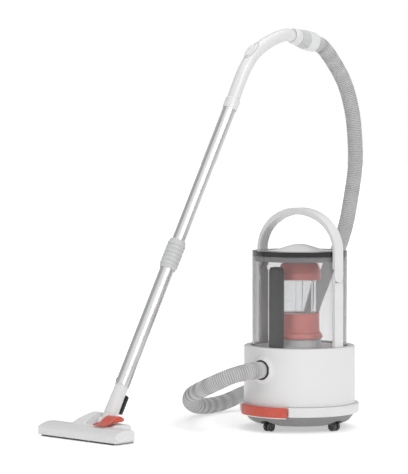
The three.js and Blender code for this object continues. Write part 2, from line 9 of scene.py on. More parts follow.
import bmesh
import bpy
import numpy as np
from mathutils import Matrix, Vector


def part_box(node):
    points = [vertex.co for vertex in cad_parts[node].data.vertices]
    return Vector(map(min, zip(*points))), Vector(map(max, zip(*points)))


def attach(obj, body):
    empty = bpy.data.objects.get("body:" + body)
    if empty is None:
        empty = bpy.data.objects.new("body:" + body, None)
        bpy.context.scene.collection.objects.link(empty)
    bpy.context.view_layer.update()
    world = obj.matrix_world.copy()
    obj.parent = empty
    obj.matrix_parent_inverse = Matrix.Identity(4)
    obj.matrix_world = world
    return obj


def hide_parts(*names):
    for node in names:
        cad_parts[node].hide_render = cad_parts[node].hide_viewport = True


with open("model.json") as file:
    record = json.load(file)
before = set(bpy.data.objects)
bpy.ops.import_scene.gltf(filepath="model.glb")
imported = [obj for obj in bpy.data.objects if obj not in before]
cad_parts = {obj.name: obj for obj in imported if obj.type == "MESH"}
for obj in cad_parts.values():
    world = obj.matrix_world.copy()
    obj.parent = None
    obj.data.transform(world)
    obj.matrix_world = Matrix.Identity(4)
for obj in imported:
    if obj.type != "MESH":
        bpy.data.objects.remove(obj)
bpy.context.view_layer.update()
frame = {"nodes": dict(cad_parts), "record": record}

MM = 0.001
JOINT = {j["name"]: j for j in frame["record"]["behaviour"]["joints"]}


def middle(node):
    """The middle of a CAD node's box, in millimetres."""
    low, high = (np.array(c, float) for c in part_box(node))
    return (low + high) / 2 / MM


AXIS = middle("tank_shell") * [1, 1, 0]


def add(name, data):
    """A new object in the scene."""
    made = bpy.data.objects.new(name, data)
    bpy.context.collection.objects.link(made)
    return made


# ---- nodes ----
def node(tree, kind, links=(), **settings):
    """A node with its settings, and its inputs joined or set from a dictionary."""
    made = tree.nodes.new("ShaderNode" + kind)
    for key, value in settings.items():
        setattr(made, key, value)
    for key, value in dict(links).items():
        if hasattr(value, "is_output"):
            tree.links.new(value, made.inputs[key])
        else:
            made.inputs[key].default_value = value
    return made


def calc(tree, operation, *values):
    """A Math node's result."""
    return node(tree, "Math", dict(enumerate(values)), operation=operation).outputs[0]


def noise(tree, place, scale, detail=2.0):
    """A noise texture's value at each place."""
    return node(tree, "TexNoise", {"Vector": place, "Scale": scale, "Detail": detail}).outputs[0]


def remap(tree, value, low, high, to_low=0.0, to_high=1.0, **settings):
    """The run from low to high laid over the run from to_low to to_high, and clamped there."""
    return node(tree, "MapRange", {"Value": value, "From Min": low, "From Max": high,
                                   "To Min": to_low, "To Max": to_high}, **settings).outputs[0]


def blend(tree, share, one, other, **settings):
    """Two colours mixed by share."""
    return node(tree, "Mix", {0: share, 6: one, 7: other}, data_type="RGBA", **settings).outputs[2]


def bump(tree, height, strength, distance):
    """The normal that a height gives; distance is in metres."""
    return node(tree, "Bump", {"Strength": strength, "Distance": distance,
                               "Height": height}).outputs[0]


# ---- camera and light ----
CAMERA_REACH, CAMERA_HEIGHT, CAMERA_LENS = 5.3, 0.68, 165.9
CAMERA_TURN, CAMERA_ASIDE, CAMERA_DROP = (math.radians(x) for x in (41, 2.509, 2.346))


def stand_camera():
    """The camera stands on a circle of radius 5.3 m round the drum, 41 degrees to the right of
    the front, and looks a little down and past the drum's left side."""
    out = np.array([math.sin(CAMERA_TURN), -math.cos(CAMERA_TURN), 0])
    right = np.array([math.cos(CAMERA_TURN), math.sin(CAMERA_TURN), 0])
    look = -out * math.cos(CAMERA_ASIDE) - right * math.sin(CAMERA_ASIDE)
    look = look * math.cos(CAMERA_DROP) + np.array([0, 0, -math.sin(CAMERA_DROP)])
    camera = add("camera", bpy.data.cameras.new("camera"))
    camera.data.lens = CAMERA_LENS
    camera.data.sensor_width = 36
    camera.data.clip_end = 200
    camera.location = AXIS * MM + out * CAMERA_REACH + np.array([0, 0, CAMERA_HEIGHT])
    camera.rotation_euler = Vector(look).to_track_quat("-Z", "Y").to_euler()
    bpy.context.scene.camera = camera


def softbox(name, place, target, size, watts):
    """A rectangular white lamp at place that faces target."""
    lamp = add(name, bpy.data.lights.new(name, "AREA"))
    lamp.data.shape = "RECTANGLE"
    lamp.data.size, lamp.data.size_y = size
    lamp.data.energy = watts
    lamp.location = place
    lamp.rotation_euler = (Vector(target) - Vector(place)).to_track_quat("-Z", "Y").to_euler()


def light_room():
    """A white room: the sky is plain white to look at, and lights and mirrors the machine with a
    grey ramp that is brightest overhead and has darker bands that polished tubes pick up."""
    world = bpy.data.worlds.new("white room")
    bpy.context.scene.world = world
    world.use_nodes = True
    tree = world.node_tree
    tree.nodes.clear()
    way = node(tree, "SeparateXYZ", {0: node(tree, "TexCoord").outputs["Generated"]}).outputs
    height = remap(tree, way["Z"], -0.3, 1.0, 0.62, 1.0)
    bearing = calc(tree, "ARCTAN2", way["Y"], way["X"])
    ramp = node(tree, "ValToRGB", {0: remap(tree, bearing, -math.pi, math.pi)})
    ramp.color_ramp.interpolation = "EASE"
    for place, level in ((0.12, 0.34), (0.2, 0.75), (0.33, 0.95), (0.42, 1.0), (0.5, 0.78),
                         (0.62, 0.62), (0.72, 0.85), (0.84, 0.5)):
        ramp.color_ramp.elements.new(place).color = (level, level, level, 1)
    for end in (0, -1):
        ramp.color_ramp.elements[end].color = (0.62, 0.62, 0.62, 1)
    sky = blend(tree, 1.0, ramp.outputs[0], height, blend_type="MULTIPLY")
    path = node(tree, "LightPath").outputs
    power = calc(tree, "MULTIPLY_ADD", path["Is Glossy Ray"], 0.36, 0.56)
    lit = node(tree, "Background", {"Strength": power, "Color": sky})
    seen = node(tree, "Background", {"Color": (1, 1, 1, 1), "Strength": 1.0})
    straight = calc(tree, "MAXIMUM", path["Is Camera Ray"], path["Is Transmission Ray"])
    mix = node(tree, "MixShader", {0: straight, 1: lit.outputs[0], 2: seen.outputs[0]})
    node(tree, "OutputWorld", {0: mix.outputs[0]})
    heart = AXIS * MM + np.array([-0.1, 0, 0.4])
    softbox("key", heart + np.array([3.2, -0.6, 2.6]), heart, (2.2, 2.2), 58)
    softbox("top", heart + np.array([-0.4, 0.3, 3.4]), heart, (3.0, 3.0), 42)
    softbox("front fill", heart + np.array([-1.2, -4.2, 1.2]), heart, (2.5, 2.0), 24)
    bpy.context.scene.view_settings.view_transform = "Standard"


stand_camera()
light_room()


# ---- surfaces ----
def unit(v):
    return v / np.linalg.norm(v, axis=-1, keepdims=True)


def surface(name, rings, wrap=True, loop=False, capped=False, sharp=40):
    """A grid of points, one row to a ring, becomes quads between each point and its neighbours.

    wrap joins each ring's last point to its first, loop joins the last ring to the first, and a
    cap is a fan from a ring's points to their mean. The map's u runs round a ring and v along
    the rings, both in metres. Points that fall together at a pole are merged."""
    rings = np.asarray(rings, float) * MM
    n, m, _ = rings.shape
    i = np.arange(n if loop else n - 1)[:, None]
    j = np.arange(m if wrap else m - 1)[None, :]
    down, over = (i + 1) % n, (j + 1) % m
    quads = np.stack([i * m + j, i * m + over, down * m + over, down * m + j], -1).reshape(-1, 4)
    along = np.r_[0, np.cumsum(np.linalg.norm(np.diff(rings, axis=0), axis=-1).mean(1))]
    along = np.r_[along, along[-1] + np.linalg.norm(rings[0] - rings[-1], axis=-1).mean()]
    closed = np.concatenate([rings, rings[:, :1]], 1)
    around = np.r_[0, np.cumsum(np.linalg.norm(np.diff(closed, axis=1), axis=-1).mean(0))]
    u = np.stack([around[j + k] + 0 * i for k in (0, 1, 1, 0)], -1)
    v = np.stack([along[i + k] + 0 * j for k in (0, 0, 1, 1)], -1)
    loops = [quads.ravel()]
    maps = [np.stack([u, v], -1).reshape(-1, 2)]
    starts = [np.arange(len(quads)) * 4]
    points = [rings.reshape(-1, 3)]
    for row in (0, n - 1) if capped else ():
        hub = sum(len(p) for p in points)
        points.append(rings[row].mean(0, keepdims=True))
        k = np.arange(m)
        fan = np.stack([row * m + k, row * m + (k + 1) % m, np.full(m, hub)], -1)
        starts.append(sum(len(x) for x in loops) + np.arange(m) * 3)
        loops.append(fan.ravel())
        maps.append(np.tile([[0.0, along[row]]], (m * 3, 1)))
    points, loops, starts = np.concatenate(points), np.concatenate(loops), np.concatenate(starts)
    mesh = bpy.data.meshes.new(name)
    mesh.vertices.add(len(points))
    mesh.vertices.foreach_set("co", points.ravel())
    mesh.loops.add(len(loops))
    mesh.loops.foreach_set("vertex_index", loops.astype(np.int32))
    mesh.polygons.add(len(starts))
    mesh.polygons.foreach_set("loop_start", starts.astype(np.int32))
    mesh.uv_layers.new(name="UVMap").data.foreach_set("uv", np.concatenate(maps).ravel())
    mesh.update(calc_edges=True)
    mesh.validate()
    tidy(mesh, sharp)
    return add(name, mesh)


def tidy(mesh, sharp):
    """Merges points that lie together, turns the faces outwards and marks sharp edges."""
    bm = bmesh.new()
    bm.from_mesh(mesh)
    bmesh.ops.remove_doubles(bm, verts=bm.verts, dist=2e-7)
    bmesh.ops.dissolve_degenerate(bm, edges=bm.edges, dist=1e-7)
    bmesh.ops.recalc_face_normals(bm, faces=bm.faces)
    bm.to_mesh(mesh)
    bm.free()
    mesh.polygons.foreach_set("use_smooth", np.ones(len(mesh.polygons), bool))
    mesh.set_sharp_from_angle(angle=math.radians(sharp))


def placed(piece, origin, ex, ey, ez):
    """Carries a mesh drawn about zero to origin, its axes turned to ex, ey and ez."""
    flat = np.empty(len(piece.data.vertices) * 3)
    piece.data.vertices.foreach_get("co", flat)
    p = flat.reshape(-1, 3)
    moved = np.asarray(origin) * MM + p[:, :1] * ex + p[:, 1:2] * ey + p[:, 2:] * ez
    piece.data.vertices.foreach_set("co", moved.ravel())
    tidy(piece.data, 50)
    return piece


def eased(points, radius, closed=True, steps=5):
    """Rounds an outline's corners: each corner B between A and C becomes the parabola
    (1-t)^2 P + 2t(1-t) B + t^2 Q, with P and Q radius away from B along its two sides, and one
    more point just outside each of them keeps the flat sides flat."""
    p = np.asarray(points, float)
    radius = np.broadcast_to(np.asarray(radius, float), len(p))[:, None]
    back, ahead = np.roll(p, 1, 0) - p, np.roll(p, -1, 0) - p
    lb, la = (np.maximum(np.linalg.norm(x, axis=1, keepdims=True), 1e-9) for x in (back, ahead))
    rb, ra = np.minimum(radius, lb * 0.4), np.minimum(radius, la * 0.4)
    first, last = p + back / lb * rb, p + ahead / la * ra
    t = np.linspace(0, 1, steps)[None, :, None]
    bend = (1 - t) ** 2 * first[:, None] + 2 * t * (1 - t) * p[:, None] + t ** 2 * last[:, None]
    before, after = p + back / lb * rb * 1.2, p + ahead / la * ra * 1.2
    bend = np.concatenate([before[:, None], bend, after[:, None]], 1)
    if closed:
        return bend.reshape(-1, p.shape[1])
    return np.concatenate([p[:1], bend[1:-1].reshape(-1, p.shape[1]), p[-1:]])


def lathe(name, profile, origin=AXIS, axis=(0, 0, 1), side=(1, 0, 0), segments=128, closed=True,
          swell=None):
    """A profile of (radius, height) turned about an axis: origin + radius cos(a) e1 + radius sin(a)
    e2 + height axis. swell(radius, height, a) may change the radius from place to place."""
    profile = np.asarray(profile, float)
    axis, side = unit(np.asarray(axis, float)), np.asarray(side, float)
    e1 = unit(side - axis * (side @ axis))
    e2 = np.cross(axis, e1)
    a = np.linspace(0, 2 * np.pi, segments, endpoint=False)[None, :, None]
    r, z = profile[:, 0][:, None, None], profile[:, 1][:, None, None]
    if swell is not None:
        r, z = swell(r + 0 * a, z + 0 * a, a)
    rings = np.asarray(origin, float) + r * np.cos(a) * e1 + r * np.sin(a) * e2 + z * axis
    return surface(name, rings, loop=closed)


def swept(name, path, across, up, section, scale=None, capped=True, loop=False):
    """A closed section of (a, b) points carried along a path: point + a across + b up, with the
    section multiplied ring by ring by scale."""
    path, section = np.asarray(path, float), np.asarray(section, float)
    k = np.ones(len(path)) if scale is None else np.asarray(scale, float)
    across, up = np.broadcast_to(across, path.shape), np.broadcast_to(up, path.shape)
    rings = (path[:, None] + (k[:, None] * section[None, :, 0])[..., None] * across[:, None]
             + (k[:, None] * section[None, :, 1])[..., None] * up[:, None])
    return surface(name, rings, capped=capped, loop=loop)


def inset(outline, depth):
    """Moves a closed outline inwards by depth along its own normals."""
    run = unit(np.roll(outline, -1, 0) - np.roll(outline, 1, 0) + 1e-9)
    x, y = outline.T
    area = np.sum(x * np.roll(y, -1) - np.roll(x, -1) * y)
    return outline + np.sign(area) * depth * np.stack([-run[:, 1], run[:, 0]], -1)


def slab(name, outline, low, high, plane, edge=1.0, corner=1.5, steps=4, dome=0.0):
    """A closed outline given thickness from low to high, with quarter-round edges: for q from 0 at
    a face to a quarter turn, the outline is shrunk by edge (1 - sin q) at edge (1 - cos q) from
    that face. plane maps the outline's two directions and the thickness to the machine's axes;
    dome crowns both faces."""
    outline = eased(outline, corner)
    q = np.linspace(0, np.pi / 2, steps)
    rise = edge * (1 - np.cos(q))
    z = np.r_[low + rise, high - rise[::-1]]
    rings = np.array([inset(outline, edge * (1 - np.sin(turn))) for turn in np.r_[q, q[::-1]]])
    cells = np.concatenate([rings, np.broadcast_to(z[:, None, None], rings.shape[:2] + (1,))], -1)
    centre = cells[[0, -1]].mean(1, keepdims=True)
    inner = centre + (cells[[0, -1]] - centre) * 0.5
    inner[0, :, 2] -= dome
    inner[1, :, 2] += dome
    cells = np.concatenate([inner[:1], cells, inner[1:]])
    return surface(name, cells[..., list(plane)], capped=True, sharp=50)


def panel(name, outline, x0, x1, **how):
    """An outline in y and z given thickness from x0 to x1, all counted from the drum's axis."""
    low, high = sorted((AXIS[0] + x0, AXIS[0] + x1))
    return slab(name, np.asarray(outline, float) + [AXIS[1], 0], low, high, (2, 0, 1), **how)


def stations(x, y, z):
    """Rings across x, one to each value of x, with x and y counted from the drum's axis."""
    return np.stack([np.broadcast_to((AXIS[0] + x)[:, None], y.shape), AXIS[1] + y, z], -1)


def ease(x, low, high):
    """0 below low, 1 above high, and 3x^2 - 2x^3 between."""
    t = np.clip((x - low) / (high - low), 0, 1)
    return t * t * (3 - 2 * t)


def spline(points, step=2.0):
    """A centripetal Catmull-Rom curve through the points, walked in even steps, and its length."""
    p = np.asarray(points, float)
    p = np.concatenate([2 * p[:1] - p[1:2], p, 2 * p[-1:] - p[-2:-1]])
    a, b, c, d = p[:-3], p[1:-2], p[2:-1], p[3:]
    k0, k1, k2 = (np.linalg.norm(y - x, axis=1, keepdims=True) ** 0.5
                  for x, y in ((a, b), (b, c), (c, d)))
    m1 = ((b - a) / k0 - (c - a) / (k0 + k1) + (c - b) / k1) * k1
    m2 = ((c - b) / k1 - (d - b) / (k1 + k2) + (d - c) / k2) * k1
    t = np.linspace(0, 1, 60, endpoint=False)[None, :, None]
    b, c, m1, m2 = (x[:, None] for x in (b, c, m1, m2))
    line = b + m1 * t + (-3 * b + 3 * c - 2 * m1 - m2) * t ** 2 + (2 * b - 2 * c + m1 + m2) * t ** 3
    line = np.concatenate([line.reshape(-1, 3), p[-2:-1]])
    run = np.r_[0, np.cumsum(np.linalg.norm(np.diff(line, axis=0), axis=1))]
    even = np.linspace(0, run[-1], max(int(round(run[-1] / step)), 2) + 1)
    return np.stack([np.interp(even, run, line[:, k]) for k in range(3)], -1), run[-1]


def circle(radius, sides):
    """A circle's points about zero."""
    a = np.linspace(0, 2 * np.pi, sides, endpoint=False)
    return radius * np.stack([np.cos(a), np.sin(a)], -1)


# ---- finishes ----
def skin_group(name, *inputs):
    """An empty shader node group with these named inputs, which puts out a colour, a roughness
    and a normal."""
    tree = bpy.data.node_groups.new(name, "ShaderNodeTree")

    def socket(label, way, kind):
        return tree.interface.new_socket(name=label, in_out=way, socket_type="NodeSocket" + kind)

    for label, value in inputs:
        socket(label, "INPUT", "Color" if np.ndim(value) else "Float").default_value = value
    for label, kind in (("Colour", "Color"), ("Roughness", "Float"), ("Normal", "Vector")):
        socket(label, "OUTPUT", kind)
    given, out = tree.nodes.new("NodeGroupInput"), tree.nodes.new("NodeGroupOutput")
    return tree, given.outputs, out.inputs


def puts_out(tree, out, *results):
    """The finished group: its results joined to its outputs in order."""
    for result, socket in zip(results, out):
        tree.links.new(result, socket)
    return tree


def moulded_skin():
    """Injection-moulded plastic: a broad, faint cloud in the colour, a fine pebble in the surface,
    hairline scuffs that dull the gloss, and dust that settles low on the machine."""
    tree, given, out = skin_group(
        "moulded skin", ("Colour", (0.8, 0.8, 0.8, 1)), ("Cloud", 0.04), ("Roughness", 0.35),
        ("Pebble Scale", 1400.0), ("Pebble Depth", 0.06), ("Scuffs", 0.3), ("Dust", 0.25))
    place = node(tree, "TexCoord").outputs["Object"]
    cloud = noise(tree, place, 7.0, 3.0)
    depth = calc(tree, "MULTIPLY", remap(tree, cloud, 0.3, 0.7), given["Cloud"])
    darker = node(tree, "HueSaturation", {"Value": 0.86, "Color": given["Colour"]}).outputs[0]
    base = blend(tree, calc(tree, "MULTIPLY", depth, 6.0), given["Colour"], darker)
    stretch = node(tree, "Mapping", {"Vector": place, "Rotation": (0.4, 0.9, 0.3),
                                     "Scale": (1.0, 14.0, 1.0)}).outputs[0]
    hair = remap(tree, noise(tree, stretch, 60.0, 4.0), 0.62, 0.72)
    hair = calc(tree, "MULTIPLY", hair, given["Scuffs"])
    height = node(tree, "SeparateXYZ", {0: place}).outputs["Z"]
    speck = remap(tree, noise(tree, place, 240.0), 0.45, 0.75)
    dust = calc(tree, "MULTIPLY", remap(tree, height, 0.09, 0.0), speck)
    dust = calc(tree, "MULTIPLY", dust, given["Dust"])
    dusty = blend(tree, dust, base, (0.52, 0.5, 0.47, 1))
    gloss = calc(tree, "MULTIPLY_ADD", hair, 0.25, given["Roughness"])
    gloss = calc(tree, "MULTIPLY_ADD", dust, 0.3, gloss)
    gloss = calc(tree, "MULTIPLY_ADD", cloud, 0.1, gloss)
    pebble = noise(tree, place, given["Pebble Scale"], 1.0)
    return puts_out(tree, out, dusty, gloss, bump(tree, pebble, given["Pebble Depth"], 0.0002))


def drawn_tube():
    """Plated tube: long faint lines along the draw, and a rougher film where hands slide it."""
    tree, given, out = skin_group("drawn tube", ("Colour", (0.8, 0.8, 0.8, 1)),
                                  ("Roughness", 0.16), ("Lines", 0.12))
    place = node(tree, "UVMap").outputs[0]
    lines = node(tree, "Mapping", {"Vector": place, "Scale": (900.0, 6.0, 1.0)}).outputs[0]
    lines = noise(tree, lines, 1.0, 3.0)
    film = remap(tree, noise(tree, place, 9.0, 4.0), 0.45, 0.7)
    share = calc(tree, "MULTIPLY", lines, given["Lines"])
    tint = blend(tree, share, given["Colour"], (0.35, 0.35, 0.36, 1))
    rough = calc(tree, "MULTIPLY_ADD", film, 0.1, given["Roughness"])
    rough = calc(tree, "MULTIPLY_ADD", share, 0.4, rough)
    return puts_out(tree, out, tint, rough, bump(tree, lines, 0.05, 0.0001))


def tank_haze():
    """Clear moulding that has held dust: a thin uneven film, and fine swirl marks from wiping."""
    tree, given, out = skin_group("tank haze", ("Colour", (0.8, 0.8, 0.8, 1)), ("Film", 0.1),
                                  ("Roughness", 0.03))
    place = node(tree, "TexCoord").outputs["Object"]
    film = remap(tree, noise(tree, place, 14.0, 5.0), 0.35, 0.75)
    film = calc(tree, "MULTIPLY", film, given["Film"])
    tint = blend(tree, film, given["Colour"], (0.62, 0.6, 0.57, 1))
    swirl = node(tree, "TexWave", {"Vector": place, "Scale": 40.0, "Distortion": 12.0,
                                   "Detail": 2.0}, wave_type="RINGS").outputs[0]
    rough = calc(tree, "MULTIPLY_ADD", film, 0.5, given["Roughness"])
    return puts_out(tree, out, tint, rough, bump(tree, swirl, 0.01, 0.0001))


def ribbed_vinyl():
    """Hose wall: painted shade that darkens the grooves between ribs, found from how far v has run
    in each pitch, and a soft mottle."""
    tree, given, out = skin_group("ribbed vinyl", ("Colour", (0.6, 0.6, 0.6, 1)),
                                  ("Painted Groove Shade", (0.2, 0.2, 0.2, 1)), ("Pitch", 0.0053),
                                  ("Roughness", 0.5))
    run = node(tree, "SeparateXYZ", {0: node(tree, "UVMap").outputs[0]}).outputs["Y"]
    turns = calc(tree, "DIVIDE", run, given["Pitch"])
    wave = calc(tree, "COSINE", calc(tree, "MULTIPLY", turns, 2 * math.pi))
    place = node(tree, "TexCoord").outputs["Object"]
    mottle = noise(tree, place, 35.0, 4.0)
    uneven = remap(tree, mottle, 0.3, 0.7, 0.55, 0.9)
    # painted shade: the share of the darker groove colour, highest in each groove between the ribs
    groove = calc(tree, "MULTIPLY", remap(tree, wave, 0.1, -1.0), uneven)
    tint = blend(tree, groove, given["Colour"], given["Painted Groove Shade"])
    rough = calc(tree, "MULTIPLY_ADD", mottle, 0.2, given["Roughness"])
    return puts_out(tree, out, tint, rough, bump(tree, noise(tree, place, 1800.0), 0.1, 0.0002))


SKIN, TUBE, HAZE, RIBS = moulded_skin(), drawn_tube(), tank_haze(), ribbed_vinyl()


def finish(name, tree_group, values, **shader):
    """A material: the group's colour, roughness and normal feed one Principled shader, whose other
    sockets are set directly."""
    material = bpy.data.materials.new(name)
    material.use_nodes = True
    tree = material.node_tree
    skin = tree.nodes["Principled BSDF"]
    made = tree.nodes.new("ShaderNodeGroup")
    made.node_tree = tree_group
    for key, value in values.items():
        made.inputs[key].default_value = value
    for out, socket in zip(made.outputs, ("Base Color", "Roughness", "Normal")):
        tree.links.new(out, skin.inputs[socket])
    for key, value in shader.items():
        skin.inputs[key.replace("_", " ")].default_value = value
    return material


def let_light_through(material, share):
    """Light reaches what is inside: a shadow ray passes the wall with share of its strength."""
    tree = material.node_tree
    skin = tree.nodes["Principled BSDF"].outputs[0]
    clear = node(tree, "BsdfTransparent", {"Color": (share, share, share, 1)}).outputs[0]
    shadow = node(tree, "LightPath").outputs["Is Shadow Ray"]
    mix = node(tree, "MixShader", {0: shadow, 1: skin, 2: clear}).outputs[0]
    tree.links.new(mix, tree.nodes["Material Output"].inputs[0])
    return material


def darken_edges(material, edge):
    """A clear wall that is looked along passes less light: its colour falls to edge of itself
    where the surface turns away from the eye."""
    tree = material.node_tree
    colour = tree.nodes["Principled BSDF"].inputs["Base Color"]
    turned_away = node(tree, "LayerWeight", {"Blend": 0.5}).outputs["Facing"]
    share = remap(tree, turned_away, 0.3, 0.9, 1.0, edge)
    tint = blend(tree, 1.0, colour.links[0].from_socket, share, blend_type="MULTIPLY")
    tree.links.new(tint, colour)
    return material


def plastic(name, colour, roughness, cloud=0.05, pebble=0.05, scuffs=0.3, dust=0.25, **shader):
    return finish(name, SKIN, {"Colour": (*colour, 1), "Roughness": roughness, "Cloud": cloud,
                               "Pebble Depth": pebble, "Scuffs": scuffs, "Dust": dust}, **shader)


LOOK = {
    "white_plastic": plastic("white plastic", (0.84, 0.84, 0.84), 0.26, Coat_Weight=0.25,
                             Coat_Roughness=0.12),
    "grey_plastic": plastic("grey plastic", (0.25, 0.253, 0.257), 0.42, pebble=0.12),
    "pale_plastic": plastic("pale plastic", (0.66, 0.665, 0.67), 0.36, pebble=0.08),
    "dark_plastic": plastic("dark plastic", (0.024, 0.025, 0.027), 0.42, pebble=0.12, dust=0.5),
    "black_plastic": plastic("black plastic", (0.008, 0.008, 0.009), 0.12, pebble=0.02,
                             Coat_Weight=0.5, Coat_Roughness=0.05),
    "red_plastic": plastic("red plastic", (0.66, 0.085, 0.05), 0.3, Coat_Weight=0.2,
                           Coat_Roughness=0.15),
    "rose_plastic": plastic("rose plastic", (0.8, 0.26, 0.23), 0.3, Coat_Weight=0.2,
                            Coat_Roughness=0.15),
    "rubber": plastic("black rubber", (0.018, 0.018, 0.019), 0.6, pebble=0.3, dust=0.6),
    "foam": plastic("filter foam", (0.08, 0.08, 0.085), 0.92, pebble=1.0),
    "filter_paper": plastic("filter paper", (0.72, 0.7, 0.64), 0.9, pebble=0.5),
    "steel": finish("turned steel", TUBE, {"Colour": (0.5, 0.51, 0.53, 1), "Roughness": 0.3},
                    Metallic=1.0),
    "copper": finish("copper winding", TUBE, {"Colour": (0.6, 0.28, 0.13, 1), "Roughness": 0.35},
                     Metallic=1.0),
    "tube_chrome": finish("plated tube", TUBE, {"Colour": (0.93, 0.93, 0.935, 1),
                                                "Roughness": 0.24}, Metallic=1.0),
    # the hose's second colour is painted shade laid into the grooves between its ribs
    "hose_vinyl": finish("hose vinyl", RIBS, {"Colour": (0.58, 0.58, 0.585, 1),
                                              "Painted Groove Shade": (0.22, 0.22, 0.225, 1)}),
    "smoke_clear": let_light_through(darken_edges(finish(
        "smoked clear plastic", HAZE, {"Colour": (0.74, 0.74, 0.745, 1), "Film": 0.1},
        Transmission_Weight=0.97, IOR=1.3), 0.12), 0.85),
    "clear_plastic": let_light_through(finish(
        "clear plastic", HAZE, {"Colour": (0.95, 0.955, 0.96, 1), "Film": 0.06, "Roughness": 0.06},
        Transmission_Weight=1.0, IOR=1.2), 0.92),
}
NODE_SLOT = {p["node"]: p["material_slot"] for p in frame["record"]["subparts"]}
NODE_BODY = {n: b for b, nodes in frame["record"]["behaviour"]["bodies"].items() for n in nodes}


def stands_for(piece, *nodes, look=None):
    """The piece takes the place, the body and the finish of these CAD nodes."""
    piece.data.materials.clear()
    piece.data.materials.append(LOOK[look or NODE_SLOT[nodes[0]]])
    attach(piece, NODE_BODY[nodes[0]])
    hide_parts(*nodes)
    return piece


def goes_with(piece, body, slot, look=None):
    """A small piece that has no CAD node of its own."""
    piece.data.materials.clear()
    piece.data.materials.append(LOOK[look or slot])
    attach(piece, body)
    return piece


def turned(name, cad_node, profile, radii, look=None, **how):
    """A profile with eased corners, turned round an axis, that stands for a CAD node."""
    line = eased(profile, radii, how.get("closed", True))
    stands_for(lathe(name, line, **how), cad_node, look=look)


# ---- hose ----
HOSE_ROUTE = [
    [-205, 293.5, 949], [-204, 319, 942.5], [-200, 353, 912], [-191, 397, 848], [-184, 420, 773],
    [-181, 428, 700], [-179, 427, 634], [-180, 413, 556], [-182, 392, 475], [-187, 370, 418],
    [-199, 337, 346], [-211, 312, 289], [-221, 292, 232], [-238, 268, 168], [-269, 229, 103],
    [-305, 188, 62], [-330, 145, 40], [-342, 98, 25], [-341, 45, 21.5], [-324, -16, 27],
    [-284, -81, 43], [-228, -145, 62], [-163, -203, 84], [-100, -238, 104], [-55, -237, 123],
    [-24, -218, 139], [-7, -191, 147], [-1, -162, 149.5], [0, -138.4, 149.5]]
PITCH = 5.3


def hose():
    """A round wall carried along the route. Its radius is 19.45 + 0.75 cos(2 pi run / pitch), with
    four rings to a pitch; across each ring the frame is built from the tangent and one fixed
    direction that the route never runs along."""
    line, length = spline(np.array(HOSE_ROUTE) + AXIS, PITCH / 4)
    tangent = unit(np.gradient(line, axis=0))
    across = unit(np.cross(tangent, unit(np.array([0.6, -0.3, -0.74]))))
    up = np.cross(tangent, across)
    run = np.linspace(0, length, len(line))
    swell = 19.45 + 0.75 * np.cos(2 * np.pi * run / PITCH)
    swell[0] = swell[-1] = 19.2
    tube = swept("hose_wall", line, across, up, circle(1.0, 30), swell)
    tube.data.materials.append(LOOK["hose_vinyl"])
    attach(tube, "base")
    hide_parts("hose")


hose()

# ---- base: pan, flange, drum ----
STEMS = AXIS[:2] + 98.0 * np.array([[0, -1], [1, 0], [0, 1], [-1, 0]])
DRUM_RADIUS, BAND_INSIDE, INLET_HEIGHT = 135.0, 131.0, 149.5
INLET = AXIS + [0, 0, INLET_HEIGHT]
FRONT, PEDAL_HALF = -np.pi / 2, math.radians(29.5)


def off_bearing(a, bearing):
    """How far each angle lies from a bearing, whichever way round is shorter."""
    return np.abs((a - bearing + np.pi) % (2 * np.pi) - np.pi)


def pan():
    """A dished pan: the outline of a bowl turned round, with each caster's well pushed up to
    27.5 mm where a point is nearer than 27 mm to that caster's stem."""
    wall, roof = 2.6, 27.5
    outer = eased([[0, 14], [106, 14], [122, 21], [131, 34], [137, 39.7]], [0, 8, 9, 5, 0], False)
    r = np.unique(np.r_[np.linspace(0, 66, 12), np.linspace(66, 128, 76), outer[:, 0]])
    z = np.interp(r, outer[:, 0], outer[:, 1])
    under = np.stack([r, z], -1)
    over = np.stack([r[::-1] * 0.982, z[::-1] + wall], -1)
    ceiling = np.repeat([roof, roof + wall], len(r))[:, None, None]

    def wells(radius, height, a):
        x, y = AXIS[0] + radius * np.cos(a), AXIS[1] + radius * np.sin(a)
        gap = np.min([np.hypot(x - sx, y - sy) for sx, sy in STEMS], axis=0)
        push = 1 - ease(gap, 26.6, 27.6)
        return radius, height + push * np.maximum(ceiling - height, 0)

    stands_for(lathe("pan_bowl", np.concatenate([under, over]), segments=300, closed=False,
                     swell=wells), "chassis_pan")


def band():
    """The white band round the base; its outer radius steps in by 6.7 mm behind the pedal."""
    loop = [[131, 40], [142.3, 40], [144.5, 42.2], [144.5, 60.8], [142.3, 63], [131, 63]]
    full, step = 13.5, 6.7

    def step_in(radius, height, a):
        share = ease(off_bearing(a, FRONT), PEDAL_HALF + 0.008, PEDAL_HALF + 0.014)
        depth = full - step * (1 - share)
        return BAND_INSIDE + (radius - BAND_INSIDE) * depth / full, height

    turned("base_band", "base_flange", loop, [0.6, 1.4, 1.4, 1.6, 1.6, 0.6], segments=420,
           swell=step_in)


def drum():
    """The drum's wall, rolled over into the well that the tank stands in. Near the hose inlet a
    cone rises out of it, 5.6 mm high, and dips again inside the bore."""
    outline = [[132.5, 63.3], [135, 63.3], [135, 202], [117.8, 202], [117.8, 190], [104, 190],
               [104, 187.5], [120.3, 187.5], [120.3, 199.5], [132.5, 199.5]]
    loop = eased(outline, [0.4, 1.2, 4.2, 1.6, 1.2, 0.4, 0.4, 0.8, 0.8, 2.0])
    wall = np.stack([np.full(56, DRUM_RADIUS), np.linspace(108, 192, 56)], -1)
    start = int(np.argmax(loop[:, 1] > 100))
    loop = np.concatenate([loop[:start], wall, loop[start:]])

    def inlet(radius, height, a):
        far = np.hypot(off_bearing(a, FRONT) * DRUM_RADIUS, height - INLET_HEIGHT)
        rise = 5.6 * (1 - ease(far, 24.2, 36.5)) ** 1.3 - 12.0 * (1 - ease(far, 21.6, 23.0))
        return radius + rise * (radius > DRUM_RADIUS - 0.1), height

    stands_for(lathe("drum_wall", loop, segments=440, swell=inlet), "drum_shell")


